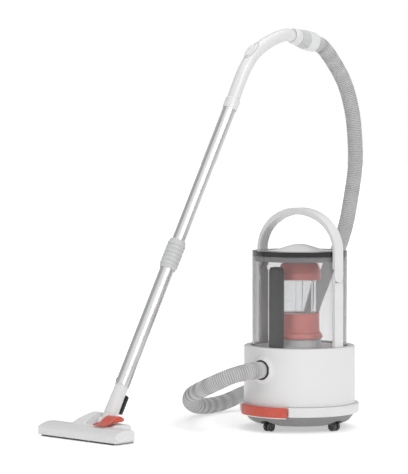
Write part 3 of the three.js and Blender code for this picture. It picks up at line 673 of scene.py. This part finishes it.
def inlet_parts():
    """The rubber ring in the inlet, the sleeve behind it, and the ribbed boot where the mains
    lead leaves the back."""
    face = dict(origin=INLET, axis=(0, -1, 0))
    gasket = [[20.7, 118], [22.3, 118], [22.3, 137.5], [24.0, 138.4], [24.0, 140.6], [20.7, 140.6]]
    sleeve = [[16, 106], [20.3, 106], [20.3, 137], [16, 137]]
    boot = [[3, 128], [6, 128], [6, 135.4], [9, 135.4], [9, 137.6], [7.4, 138.2], [6.6, 139.4],
            [6.9, 140.4], [6.0, 141], [3, 141]]
    turned("inlet_gasket", "inlet_seal", gasket, 0.6, segments=96, **face)
    turned("hose_sleeve", "hose_end_fitting", sleeve, 0.8, segments=64, **face)
    turned("cord_boot", "cord_gland", boot, 0.5, origin=AXIS + [0, 0, 84], axis=(0, 1, 0),
           segments=64)


def pedal():
    """The pad is a rounded section turned through 59 degrees about the drum's axis, its ends
    shrunk along a quarter circle; two arms run back from it to the pin."""
    section = eased([[138.3, 38.3], [148.5, 38.3], [148.5, 62.7], [138.3, 62.7]], [1, 1.6, 2.4, 1])
    heart = section.mean(0)
    q = np.linspace(0, np.pi / 2, 6)
    curl, tuck = 0.014 * (1 - np.cos(q)), 0.8 + 0.2 * np.sin(q)
    flat = PEDAL_HALF - 0.016
    turn = np.r_[curl - PEDAL_HALF, np.linspace(-flat, flat, 60), PEDAL_HALF - curl[::-1]] + FRONT
    tight = np.r_[tuck, np.ones(60), tuck[::-1]][:, None, None]
    shape = heart + (section - heart) * tight
    turn = turn[:, None]
    rings = np.stack([AXIS[0] + shape[..., 0] * np.cos(turn),
                      AXIS[1] + shape[..., 0] * np.sin(turn), shape[..., 1]], -1)
    stands_for(surface("pedal_pad", rings, capped=True), "foot_pedal")
    for side, label in ((-30, "left"), (30, "right")):
        arm = AXIS[:2] + [side, 0] + [[-4, -140], [4, -140], [4, -94], [-4, -94]]
        goes_with(slab("pedal_arm_" + label, arm, 45.6, 52, (0, 1, 2), edge=1.0, corner=1.0),
                  "pedal", "red_plastic")


def casters():
    """Four twin-wheel casters: a wheel with a groove round its middle and crowned treads, and a
    fork with a round plate, a stem and a leaning leg."""
    tread = [[0, -9], [5, -10], [10, -10], [12, -8.6], [12, -4], [10.8, -3.2], [2, -3.2], [2, 3.2],
             [10.8, 3.2], [12, 4], [12, 8.6], [10, 10], [5, 10], [0, 9]]
    plate = [[0, 24.5], [9.5, 24.5], [9.5, 27.2], [3, 27.2], [3, 33], [0, 33]]
    leg = [[-5, 25], [5, 25], [16, 16], [16, 9], [8, 8], [-5, 19]]
    for spot, (sx, sy) in zip(("front", "right", "rear", "left"), STEMS):
        stem = np.array([sx, sy, 0])
        out = unit(stem - AXIS)
        axle = np.cross(out, [0, 0, 1.0])
        turned("wheel_" + spot, "caster_wheel_" + spot, tread, 0.7, axis=axle, side=(0, 0, 1),
               origin=stem + [0, 0, 12] + out * 12, segments=48, closed=False)
        turned("fork_plate_" + spot, "caster_fork_" + spot, plate, 0.5, origin=stem, segments=48,
               closed=False)
        leaf = slab("fork_leg_" + spot, leg, -2.5, 2.5, (0, 2, 1), edge=0.7, corner=2.5)
        goes_with(placed(leaf, stem, out, axle, np.array([0, 0, 1])), "fork_" + spot,
                  "grey_plastic")


pan()
band()
drum()
inlet_parts()
pedal()
casters()

# ---- tank, filter and lid ----
def turned_parts():
    """Everything that stands on the drum's axis, each a rounded profile turned round it."""
    tall = dict(segments=144)
    wall = [[106, 190.3], [115, 190.3], [115, 418.7], [112, 418.7], [112, 192.7], [106, 192.7]]
    foot = [[27.8, 193], [111.7, 193], [111.7, 199], [54, 199], [52, 217.7], [27.8, 217.7]]
    turned("tank_wall", "tank_shell", wall, [0.5, 2.0, 0.8, 0.8, 1.5, 0.5], **tall)
    turned("tank_foot", "tank_floor", foot, [0.5, 0.8, 1.4, 3, 1.5, 0.8], **tall)
    riser = [[15.8, 192.7], [18, 192.7], [18, 386], [14, 393], [0, 394.5]]
    bore = [[0, 391.5], [13, 390], [15.8, 384], [15.8, 192.7]]
    stands_for(lathe("dust_riser", np.concatenate([eased(riser, 2.0, False), bore]),
                     origin=AXIS + [0, -84, 0], segments=64, closed=False), "inlet_riser")
    flange = [[27.8, 218], [56, 218], [56, 226], [52, 231.8], [27.8, 231.8]]
    bowl = [[27.8, 232.3], [50.5, 232.3], [48.4, 240], [48.2, 276.6], [49.4, 277.4], [49.2, 279],
            [45.5, 279], [45.5, 235], [27.8, 235]]
    turned("filter_foot", "filter_flange", flange, [0.5, 1.2, 1.6, 1.2, 0.5], "rose_plastic",
           **tall)
    turned("filter_bowl", "filter_cup", bowl, [0.4, 1, 2, 0.4, 0.5, 0.5, 0.5, 1, 0.4],
           "rose_plastic", **tall)
    grooves = [[52.2 - 0.5 * (i % 2), 361 + 1.5 * i] for i in range(12)]
    dome = [[50.6, 381], [48.6, 389], [45, 397], [41, 400], [0, 400]]
    inside = [[0, 397], [42, 397], [49.5, 375], [49.5, 361]]
    cap = np.concatenate([inside, grooves, eased(dome, [0, 4, 3, 2, 0], False)])
    stands_for(lathe("filter_lid", cap, closed=False, **tall), "filter_cap", look="rose_plastic")

    def ribs(radius, height, a):
        rib = np.exp(-(np.abs(np.sin(3 * a)) / 0.07) ** 4)
        return radius + 1.6 * rib * (radius > 39.5) * (radius < 40.5), height

    def pleats(radius, height, a):
        return radius - 1.6 * (radius > 39) * (1 + np.cos(48 * a)) / 2, height

    cage = [[38.4, 281.5], [34, 281.5], [34, 279.3], [40, 279.3], [40, 360.7], [34, 360.7],
            [34, 358.5], [38.4, 358.5]]
    core = [[26, 236], [40, 236], [40, 277], [26, 277]]
    turned("filter_window", "filter_cage", cage, 0.4, segments=288, swell=ribs)
    turned("filter_pleats", "filter_core", core, 0.6, segments=480, swell=pleats)
    rim = [[112.3, 419], [115, 419], [115, 430.9], [78.3, 430.9], [78.3, 428], [109, 428],
           [112.3, 425]]
    skirt = [[108.4, 406], [110.1, 406], [111, 408], [111, 424], [110, 426], [108.4, 427]]
    turned("lid_rim", "lid_ring", rim, [0.4, 0.8, 1.4, 0.5, 0.4, 1, 1], **tall)
    turned("lid_collar", "lid_skirt", skirt, [0.4, 0.6, 0.6, 0.6, 0.6, 0.4], "grey_plastic",
           **tall)
    r = np.linspace(0, 78, 40)
    bell = np.stack([r, 430.6 + 16.4 * (1 + np.cos(np.pi * r / 78)) / 2], -1)
    stands_for(lathe("lid_crown", np.concatenate([bell, [[77.6, 428.6], [0, 440]]]), closed=False,
                     **tall), "lid_dome", look="white_plastic")


turned_parts()

PIN_HEIGHT, LEG_HALF = 372, 15


# ---- carry handle ----
def arch():
    """The band's outer line runs up one side, over a half ellipse and down the other. Its section
    is 30 mm wide with rounded edges and 9.6 mm thick, swelling to 17 mm at the crown as the square
    of the sine of the bearing; below the lap joint only the outer leaf goes on, and its end is a
    half disc about the pin."""
    spring, rise, reach = 431.0, 104.0, 125.9
    q = np.linspace(0, np.pi, 121)
    curl = 1 - np.cos(np.linspace(0.12, np.pi / 2, 12))
    side = np.r_[357 + LEG_HALF * curl, np.linspace(374, 389.6, 8), 390.2,
                 np.linspace(392, spring - 1, 14)]
    out_r = np.stack([np.full(len(side), reach), side], -1)
    outer = np.concatenate([out_r, np.stack([reach * np.cos(q), spring + rise * np.sin(q)], -1),
                            (out_r * [-1, 1])[::-1]])
    bend = np.stack([np.cos(q) / reach, np.sin(q) / rise], -1)
    flat = np.tile([1.0, 0.0], (len(side), 1))
    normal = unit(np.concatenate([flat, bend, flat * [-1, 1]]))
    crown = 7.4 * np.clip((outer[:, 1] - spring) / rise, 0, 1) ** 2
    deep = (np.where(outer[:, 1] < 390, 5.0, 9.6) + crown)[:, None]
    drop = np.clip(PIN_HEIGHT - outer[:, 1], 0, LEG_HALF)
    wide = np.sqrt(np.maximum(LEG_HALF ** 2 - drop ** 2, 1.0))[:, None] / LEG_HALF
    box = eased([[-9.6, -15], [0, -15], [0, 15], [-9.6, 15]], 1.5)
    depth, width = box[:, 0][None] / 9.6 * deep, box[:, 1][None] * wide
    rings = np.stack([AXIS[0] + outer[:, :1] + depth * normal[:, :1], AXIS[1] + width,
                      outer[:, 1:] + depth * normal[:, 1:]], -1)
    stands_for(surface("handle_band", rings, capped=True, sharp=50), "handle_arch")


def legs():
    """Each leg is a flat bar that thins to an inner leaf with a round end, and a cover plate whose
    top is hollowed to the arch's disc."""
    near, mid, seam, far = 116.3, 120.6, 120.65, 125.9
    t, dip = np.linspace(-np.pi / 2, np.pi / 2, 25), np.linspace(1.28, 0, 12)
    disc = LEG_HALF + 0.5
    hollow = np.stack([disc * np.sin(dip), PIN_HEIGHT - disc * np.cos(dip)], -1)
    arc = np.stack([-LEG_HALF * np.sin(t), PIN_HEIGHT + LEG_HALF * np.cos(t)], -1)
    foot = [[-LEG_HALF, 202.3], [LEG_HALF, 202.3]]
    plate = np.concatenate([foot, [[LEG_HALF, 367.6]], hollow[:-1], [[-LEG_HALF, 356.4]]])
    leaf = np.concatenate([foot, arc])
    pin = [[0, -4.6], [3.4, -4.6], [4, -4], [4, 4], [3.4, 4.6], [0, 4.6]]
    for side, label in ((-1, "left"), (1, "right")):
        stands_for(panel("leg_cover_" + label, plate, side * seam, side * far, edge=0.9,
                         corner=1.0), "handle_leg_" + label)
        goes_with(panel("leg_leaf_" + label, leaf, side * near, side * mid, edge=0.8,
                        corner=0.6), "base", "white_plastic")
        turned("handle_pivot_" + label, "handle_pin_" + label, pin, 0.4, side=(0, 0, 1),
               origin=AXIS + [side * 121.1, 0, PIN_HEIGHT], axis=(1, 0, 0), segments=40,
               closed=False)


arch()
legs()


# ---- wand ----
FOOT = np.array(JOINT["neck_turn"]["pos_m"]) / MM
RISE = np.array(JOINT["neck_turn"]["axis"])
SIDE = np.array([1.0, 0, 0])
BACK = np.cross(RISE, SIDE)
ON_WAND = dict(origin=FOOT, axis=RISE, side=SIDE)
CUFF = np.array(JOINT["cuff_swivel"]["pos_m"]) / MM
CUFF_AXIS = np.array(JOINT["cuff_swivel"]["axis"])


DETENT_BEARING = math.pi + 0.72


def tubes():
    """Two plated tubes, one inside the other. The upper one has a row of detents, each a flat
    0.95 mm deep and 5 mm long, every 20 mm along a line turned 41 degrees from its left side."""
    runs = np.r_[250, 251, np.arange(400, 741, 1.25), 771, 772]
    outer = np.stack([np.full(len(runs), 16.0), runs], -1)
    bore = np.stack([np.full(len(runs), 14.8), runs], -1)[::-1]

    def detents(radius, height, a):
        step = np.abs((height - 402.5) % 20 - 10)
        dip = (1 - ease(off_bearing(a, DETENT_BEARING), 0.17, 0.26)) * (1 - ease(step, 2.2, 3.6))
        return radius - 0.95 * dip * (radius > 15.5) * (height > 405) * (height < 736), height

    stands_for(lathe("upper_wand", np.concatenate([outer, bore]), segments=110, swell=detents,
                     **ON_WAND), "upper_tube")
    turned("lower_wand", "lower_tube", [[16.5, 0], [17.5, 0], [17.5, 372], [16.5, 372]], 0.3,
           segments=96, **ON_WAND)
    latch = slab("tube_latch", [[-2.6, -4], [2.6, -4], [2.6, 4], [-2.6, 4]], 17.2, 18.3,
                 (0, 1, 2), edge=0.4, corner=2.0)
    out = math.cos(DETENT_BEARING) * SIDE + math.sin(DETENT_BEARING) * BACK
    goes_with(placed(latch, FOOT + RISE * 12, np.cross(RISE, out), RISE, out), "wand_lower",
              "dark_plastic")


def collar():
    """The clamp: six rounded ribs between two plain rims."""
    z = np.linspace(0, 1, 200)
    rib = np.clip(np.sin(6 * np.pi * z) ** 2 * 1.9, 0, 1) * (z > 0.001)
    wall = np.stack([20.4 + 2.3 * rib, 317 + 63 * z], -1)
    low = eased([[18, 310], [19.6, 310], [20.5, 313], [20.5, 317]], [0.2, 0.8, 0.8, 0.1], False)
    high = eased([[20.5, 380], [20.5, 384], [19.4, 387], [16.4, 387]], [0.1, 0.8, 0.8, 0.2], False)
    bore = [[16.4, 372.6], [17.9, 372.6]]
    stands_for(lathe("clamp", np.concatenate([low, wall, high, bore]), segments=96, **ON_WAND),
               "clamp_collar", look="pale_plastic")


GRIP_ROUTE = [FOOT + RISE * 756, FOOT + RISE * 776] + [
    AXIS + [-205, y, z] for y, z in ((9, 847), (31, 881.5), (58, 911), (93, 935), (131, 952),
                                     (168, 963.6), (188, 966.6), (203.5, 964.9))]


def grip():
    """The bent grip: an oval carried along its route, fuller where the palm rests; two shallow
    grooves run along its flanks; a plain socket takes the tube."""
    line, _ = spline(GRIP_ROUTE, 2.0)
    tangent = unit(np.gradient(line, axis=0))
    up = np.cross(tangent, SIDE)
    run = np.linspace(0, 1, len(line))
    a = np.linspace(0, 2 * np.pi, 72, endpoint=False)
    groove = sum(0.55 * np.exp(-(np.sin(a - flank) / 0.09) ** 2) * (np.cos(a - flank) > 0)
                 for flank in (0.5, np.pi - 0.5))
    share = (ease(run, 0.3, 0.36) * (1 - ease(run, 0.9, 0.95)))[:, None]
    swell = 15.6 + 0.35 * np.sin(np.pi * run)[:, None] - groove * share
    swell[-3:] -= np.array([[0.05], [0.3], [0.9]])
    rings = (line[:, None] + (swell * np.cos(a))[..., None] * SIDE
             + (swell * np.sin(a))[..., None] * up[:, None])
    stands_for(surface("grip_bend", rings, capped=True), "grip")
    cup = eased([[16.3, 756], [18, 756], [18.1, 782], [16.9, 785], [15.4, 785], [15.4, 772]],
                [0.4, 0.9, 1.6, 1.2, 0.2, 0.2])
    goes_with(lathe("grip_socket", cup, segments=96, **ON_WAND), "wand_upper", "white_plastic")


def bleed_slider():
    """A raised oval that rides on the outside of the bend, with three finger ridges."""
    line, _ = spline(GRIP_ROUTE, 1.0)
    k = len(line) // 2
    along = unit(line[k + 1] - line[k - 1])
    out = np.cross(SIDE, along)
    t = np.linspace(0, 2 * np.pi, 64, endpoint=False)
    oval = np.stack([8.3 * np.cos(t), 19 * np.sign(np.sin(t)) * np.abs(np.sin(t)) ** 0.8], -1)
    size = np.array([1, 1, 0.99, 0.955, 0.89, 0.8, 0.66, 0.5, 0.33, 0.16])
    high = np.array([13.2, 17.6, 19.0, 19.9, 20.5, 20.8, 20.95, 21.0, 21.0, 21.0])
    rings = np.concatenate([size[:, None, None] * oval, np.broadcast_to(
        high[:, None, None], (len(size), len(t), 1))], -1)
    ridge = 0.45 * np.cos(rings[..., 1] * 2 * np.pi / 4.2) * (np.abs(rings[..., 1]) < 8) * (
        size < 0.9)[:, None]
    rings[..., 2] += ridge
    pad = surface("bleed_pad", rings, capped=True)
    stands_for(placed(pad, line[k], SIDE, along, out), "bleed_slider", look="white_plastic")
    reach, half = 28.0, 10.6
    steps = np.linspace(0, 2 * np.pi, 120, endpoint=False)
    across = half * np.cos(steps)
    run = np.sign(np.sin(steps)) * np.abs(np.sin(steps)) ** 0.8 * reach + 5.0
    spot = np.clip((k + run).astype(int), 1, len(line) - 2)
    way = unit(line[spot + 1] - line[spot - 1])
    lift = np.cross(np.broadcast_to(SIDE, way.shape), way)
    height = np.sqrt(15.7 ** 2 - across ** 2) + 0.4
    path = line[spot] + across[:, None] * SIDE + height[:, None] * lift
    path = (path + np.roll(path, 1, 0) + np.roll(path, -1, 0)) / 3
    goes_with(swept("bleed_rim", path, np.cross(way, lift), lift, circle(1.5, 14), loop=True),
              "wand_upper", "grey_plastic", look="pale_plastic")


def cuff():
    """Round pieces on the axis where the grip meets the hose: two white rings, five ribs, each an
    arc of |sin| to the power 0.6 that grows towards the hose, and the broad cuff."""
    on_cuff = dict(origin=CUFF, axis=CUFF_AXIS, side=SIDE, segments=96)
    rings = [[13.5, 1.2], [17.6, 1.2], [20.3, 4.6], [20.4, 10], [19.1, 11.4], [20.7, 13],
             [20.7, 22], [19, 24], [13.5, 24]]
    turned("grip_rings", "grip_ring", rings, [0.3, 1, 1.4, 1, 0.8, 0.9, 1.2, 0.8, 0.3], **on_cuff)
    z = np.linspace(0, 27, 160)
    ribs = np.stack([19.2 + 0.13 * z + 2.4 * np.abs(np.sin(np.pi * z / 5.4)) ** 0.6, 24.6 + z], -1)
    stands_for(lathe("bellows_ribs", np.concatenate([[[17, 24.4], [20, 24.4]], ribs,
               [[22.5, 52], [17, 52]]]), **on_cuff), "cuff_bellows", look="pale_plastic")
    shell = [[17, 52.3], [24.4, 52.3], [25.2, 58], [25.2, 80], [23.6, 87.8], [17, 87.8]]
    turned("hose_cuff_shell", "hose_cuff", shell, [0.3, 1.6, 3, 4, 2.2, 0.3], **on_cuff)


def neck():
    """The white neck that swells a little to its foot, the parking rib on its back, and the elbow
    with its barrel across the nozzle."""
    tube = [[13, -75.6], [17.4, -75.6], [17, -60], [16.3, -20], [16.2, -1], [16, 0.2], [16, 24],
            [13, 24]]
    turned("neck_tube", "nozzle_neck", tube, [0.4, 1, 8, 8, 0.5, 0.4, 0.6, 0.4], segments=96,
           **ON_WAND)
    plate = [[-14, -64], [14, -64], [14, -20], [9, -16], [-9, -16], [-14, -20]]
    rib = slab("rib", plate, 16.9, 22.5, (0, 1, 2), edge=0.8, corner=1.6)
    stands_for(placed(rib, FOOT, -SIDE, RISE, BACK), "parking_rib")
    stem = [[12.5, -97], [18.4, -97], [18.4, -75.9], [12.5, -75.9]]
    turned("elbow_stem", "neck_elbow", stem, [0.4, 1, 0.9, 0.4], segments=96, **ON_WAND)
    barrel = eased([[0, -33], [6, -33], [6, -20.4], [16, -20.2], [17, -19.2], [17, 19.2],
                    [16, 20.2], [6, 20.4], [6, 33], [0, 33]], 0.5, False)
    pivot = np.array(JOINT["head_pitch"]["pos_m"]) / MM
    goes_with(lathe("elbow_barrel", barrel, origin=pivot, axis=(1, 0, 0), side=(0, 0, 1),
                    segments=80, closed=False), "elbow", "white_plastic")


tubes()
collar()
grip()
bleed_slider()
cuff()
neck()

# ---- floor nozzle ----
HEAD_LOW, HEAD_HIGH = (np.array(c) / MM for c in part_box("nozzle_shell"))


def head_cover():
    """The long cover: for each x its front and back edges follow a plan with round corners, and
    between them a section that rises from the front edge, crowns and falls to the back. The two
    ends close with a flat face that is eased at its rim. The wall is 2.2 mm thick."""
    x0, x1 = HEAD_LOW[0], HEAD_HIGH[0]
    foot, ease_in = 5, 2.4
    y0, y1 = AXIS[1] - 547.5, AXIS[1] - 482.5
    line = eased([[0, 5], [0, 23.4], [4, 26.2], [30, 33.6], [53, 32.8], [65, 28], [65, 5]],
                 [0, 1.2, 2.5, 12, 6, 6, 0], False)
    s = np.r_[0, np.cumsum(np.linalg.norm(np.diff(line, axis=0), axis=1))]
    even = np.linspace(0, s[-1], 70)
    line = np.stack([np.interp(even, s, line[:, k]) for k in (0, 1)], -1)
    u = np.linspace(0, 1, 14)
    ends = 9 * (1 - np.cos(u * np.pi / 2))
    x = np.r_[x0 + ends, np.linspace(x0 + 11, x1 - 11, 40), x1 - ends[::-1]]
    gap = np.minimum(x - x0, x1 - x)

    def corner(radius):
        left = np.clip(radius - gap, 0, radius)
        return radius - np.sqrt(np.maximum(radius ** 2 - left ** 2, 0))

    front, back = y0 + corner(3.5), y1 - corner(9.0)
    y = front[:, None] + (back - front)[:, None] * line[:, 0] / 65
    z = foot + (line[:, 1] - foot)[None, :] * (1 - corner(ease_in)[:, None] / 30)
    rings = np.stack([np.broadcast_to(x[:, None], y.shape), y, z], -1)
    near, far = ([row * [1, 1, 0] + [0, 0, foot] + (row[:, 2:] - foot) * k * [0, 0, 1]
                  for k in (0.0, 0.5, 0.8)] for row in rings[[0, -1]])
    rings = np.concatenate([near, rings, far[::-1]])
    cover = surface("head_cover", rings, wrap=False, sharp=40)
    thick = cover.modifiers.new("wall", "SOLIDIFY")
    thick.thickness = 2.2 * MM
    thick.offset = -1
    stands_for(cover, "nozzle_shell")


def hood():
    """Left of the neck the hood's section is a smooth hump in y and z; a sloping plane that falls
    to the left takes its top off, blended where the two are within 3 mm of each other."""
    foot, k = 14.2, 3.0
    shape = eased([[-484, foot], [-510, 27.5], [-512, 31], [-492, 43], [-474, 53.5], [-458, 59],
                   [-444, 56], [-434, 46], [-432, 34], [-433, foot]],
                  [2, 2, 1.2, 10, 12, 10, 8, 6, 5, 2])
    x = np.r_[-272, -271.6, -270.8, np.linspace(-269, -228, 40), -227, -226.5, -226.3]
    ceiling = np.interp(x, [-272, -262, -248, -236, -226], [29, 44.5, 54.5, 62, 66])
    y = np.broadcast_to(shape[:, 0], (len(x), len(shape)))
    top = ceiling[:, None] + 0.10 * (shape[None, :, 1] - 40)
    z = shape[None, :, 1]
    under = np.clip(0.5 + 0.5 * (top - z) / k, 0, 1)
    z = np.maximum(top + (z - top) * under - k * under * (1 - under), np.minimum(z, foot))
    shrink = np.ones(len(x))
    shrink[[0, 1, -2, -1]] = [0.955, 0.985, 0.985, 0.955]
    mid = np.stack([y.mean(1), z.mean(1)], -1)
    y = mid[:, :1] + (y - mid[:, :1]) * shrink[:, None]
    z = mid[:, 1:] + (z - mid[:, 1:]) * shrink[:, None]
    goes_with(surface("hood", stations(x, y, z), capped=True, sharp=50), "head", "white_plastic")
    bed = [[-484, foot], [-502, 27], [-501, 31], [-480, 36], [-446, 36], [-434, 30], [-433, foot]]
    goes_with(panel("rocker_bed", bed, -183.7, -142, edge=1.6, corner=4), "head", "white_plastic")


def rocker():
    """The red rocker: a flat tongue in front that rises into a dome, crowned across its width."""
    shape = [[-520, 38.3], [-519, 35.9], [-502, 36.4], [-486, 40.4], [-456, 41], [-451, 44],
             [-452, 49], [-461, 54.5], [-472, 56], [-484, 52.5], [-496, 43.5], [-508, 39.8]]
    stands_for(panel("rocker", shape, -182.7, -146, edge=3.2, corner=9, steps=8, dome=0.4),
               "mode_rocker")


def underside():
    """The sole plate is a band between its outer outline and its suction slot's outline; the brush
    strip's lower edge is cut into tufts; the roller is a waisted bar."""
    outer = eased([[-339.6, -541], [-79.4, -541], [-79.4, -484.8], [-339.6, -484.8]], 6.0)
    inner = eased([[-310, -524], [-110, -524], [-110, -512], [-310, -512]], 5.0)
    rows = []
    for shape, depth, z in (
            (outer, 0.5, 1.5), (outer, 0, 2.0), (outer, 0, 4.3), (outer, 0.4, 4.7),
            (inner, -0.4, 4.7), (inner, 0, 4.3), (inner, 0, 2.0), (inner, -0.5, 1.5)):
        flat = inset(shape, depth) + AXIS[:2]
        rows.append(np.c_[flat, np.full(len(flat), z)])
    stands_for(surface("sole", np.array(rows), loop=True), "sole_plate")
    section = eased([[-544.6, 0.6], [-541.6, 0.6], [-541.6, 10], [-544.6, 10]], 0.4)
    x = np.linspace(-330, -89, 724)
    tuft = 0.5 * (1 - np.cos(2 * np.pi * x / 2.0))[:, None] * (section[:, 1] < 4)[None, :]
    y = section[None, :, 0] + 0.5 * tuft * np.sign(section[None, :, 0] + 543.1) * -1
    z = section[None, :, 1] + 0.9 * tuft
    stands_for(surface("bristles", stations(x, y, z), capped=True), "brush_strip")
    roller = [[0, -62], [2, -62], [2, -58.6], [6.5, -58.6], [6.5, -24], [4.5, -21.5], [4.5, 21.5],
              [6.5, 24], [6.5, 58.6], [2, 58.6], [2, 62], [0, 62]]
    turned("floor_roller", "nozzle_roller", roller, 0.5, axis=(1, 0, 0), side=(0, 0, 1),
           origin=np.array(JOINT["roller_spin"]["pos_m"]) / MM, segments=64, closed=False)


head_cover()
hood()
rocker()
underside()

# ---- CAD pieces that keep their own shape ----
for label, slot_name in NODE_SLOT.items():
    kept = frame["nodes"][label]
    if not kept.hide_render:
        kept.data.materials.clear()
        kept.data.materials.append(LOOK[slot_name])


def floor():
    """A pale floor, far wider than the view. To the eye it glows more the farther it lies from the
    machine, so that it runs into the white room with no edge; on the machine it throws one even,
    weak light."""
    sheet = bpy.data.meshes.new("floor")
    sheet.from_pydata([(-60, -60, 0), (60, -60, 0), (60, 60, 0), (-60, 60, 0)], [], [(0, 1, 2, 3)])
    ground = add("floor", sheet)
    material = bpy.data.materials.new("pale floor")
    material.use_nodes = True
    tree = material.node_tree
    skin = tree.nodes["Principled BSDF"]
    place = node(tree, "TexCoord").outputs["Object"]
    tone = remap(tree, noise(tree, place, 2.0), 0.0, 1.0, 0.88, 0.92)
    tree.links.new(tone, skin.inputs["Base Color"])
    far = node(tree, "VectorMath", {0: place, 1: (0, 0, 0)}, operation="DISTANCE").outputs["Value"]
    glow = remap(tree, far, 0.45, 1.9, 0.42, 1.0, interpolation_type="SMOOTHSTEP")
    path = node(tree, "LightPath").outputs
    eye = calc(tree, "MAXIMUM", path["Is Camera Ray"], path["Is Transmission Ray"])
    power = node(tree, "Mix", {0: eye, 2: 0.3, 3: glow}).outputs[0]
    tree.links.new(power, skin.inputs["Emission Strength"])
    skin.inputs["Roughness"].default_value = 0.75
    skin.inputs["Specular IOR Level"].default_value = 0.2
    skin.inputs["Emission Color"].default_value = (1, 1, 1, 1)
    sheet.materials.append(material)


floor()
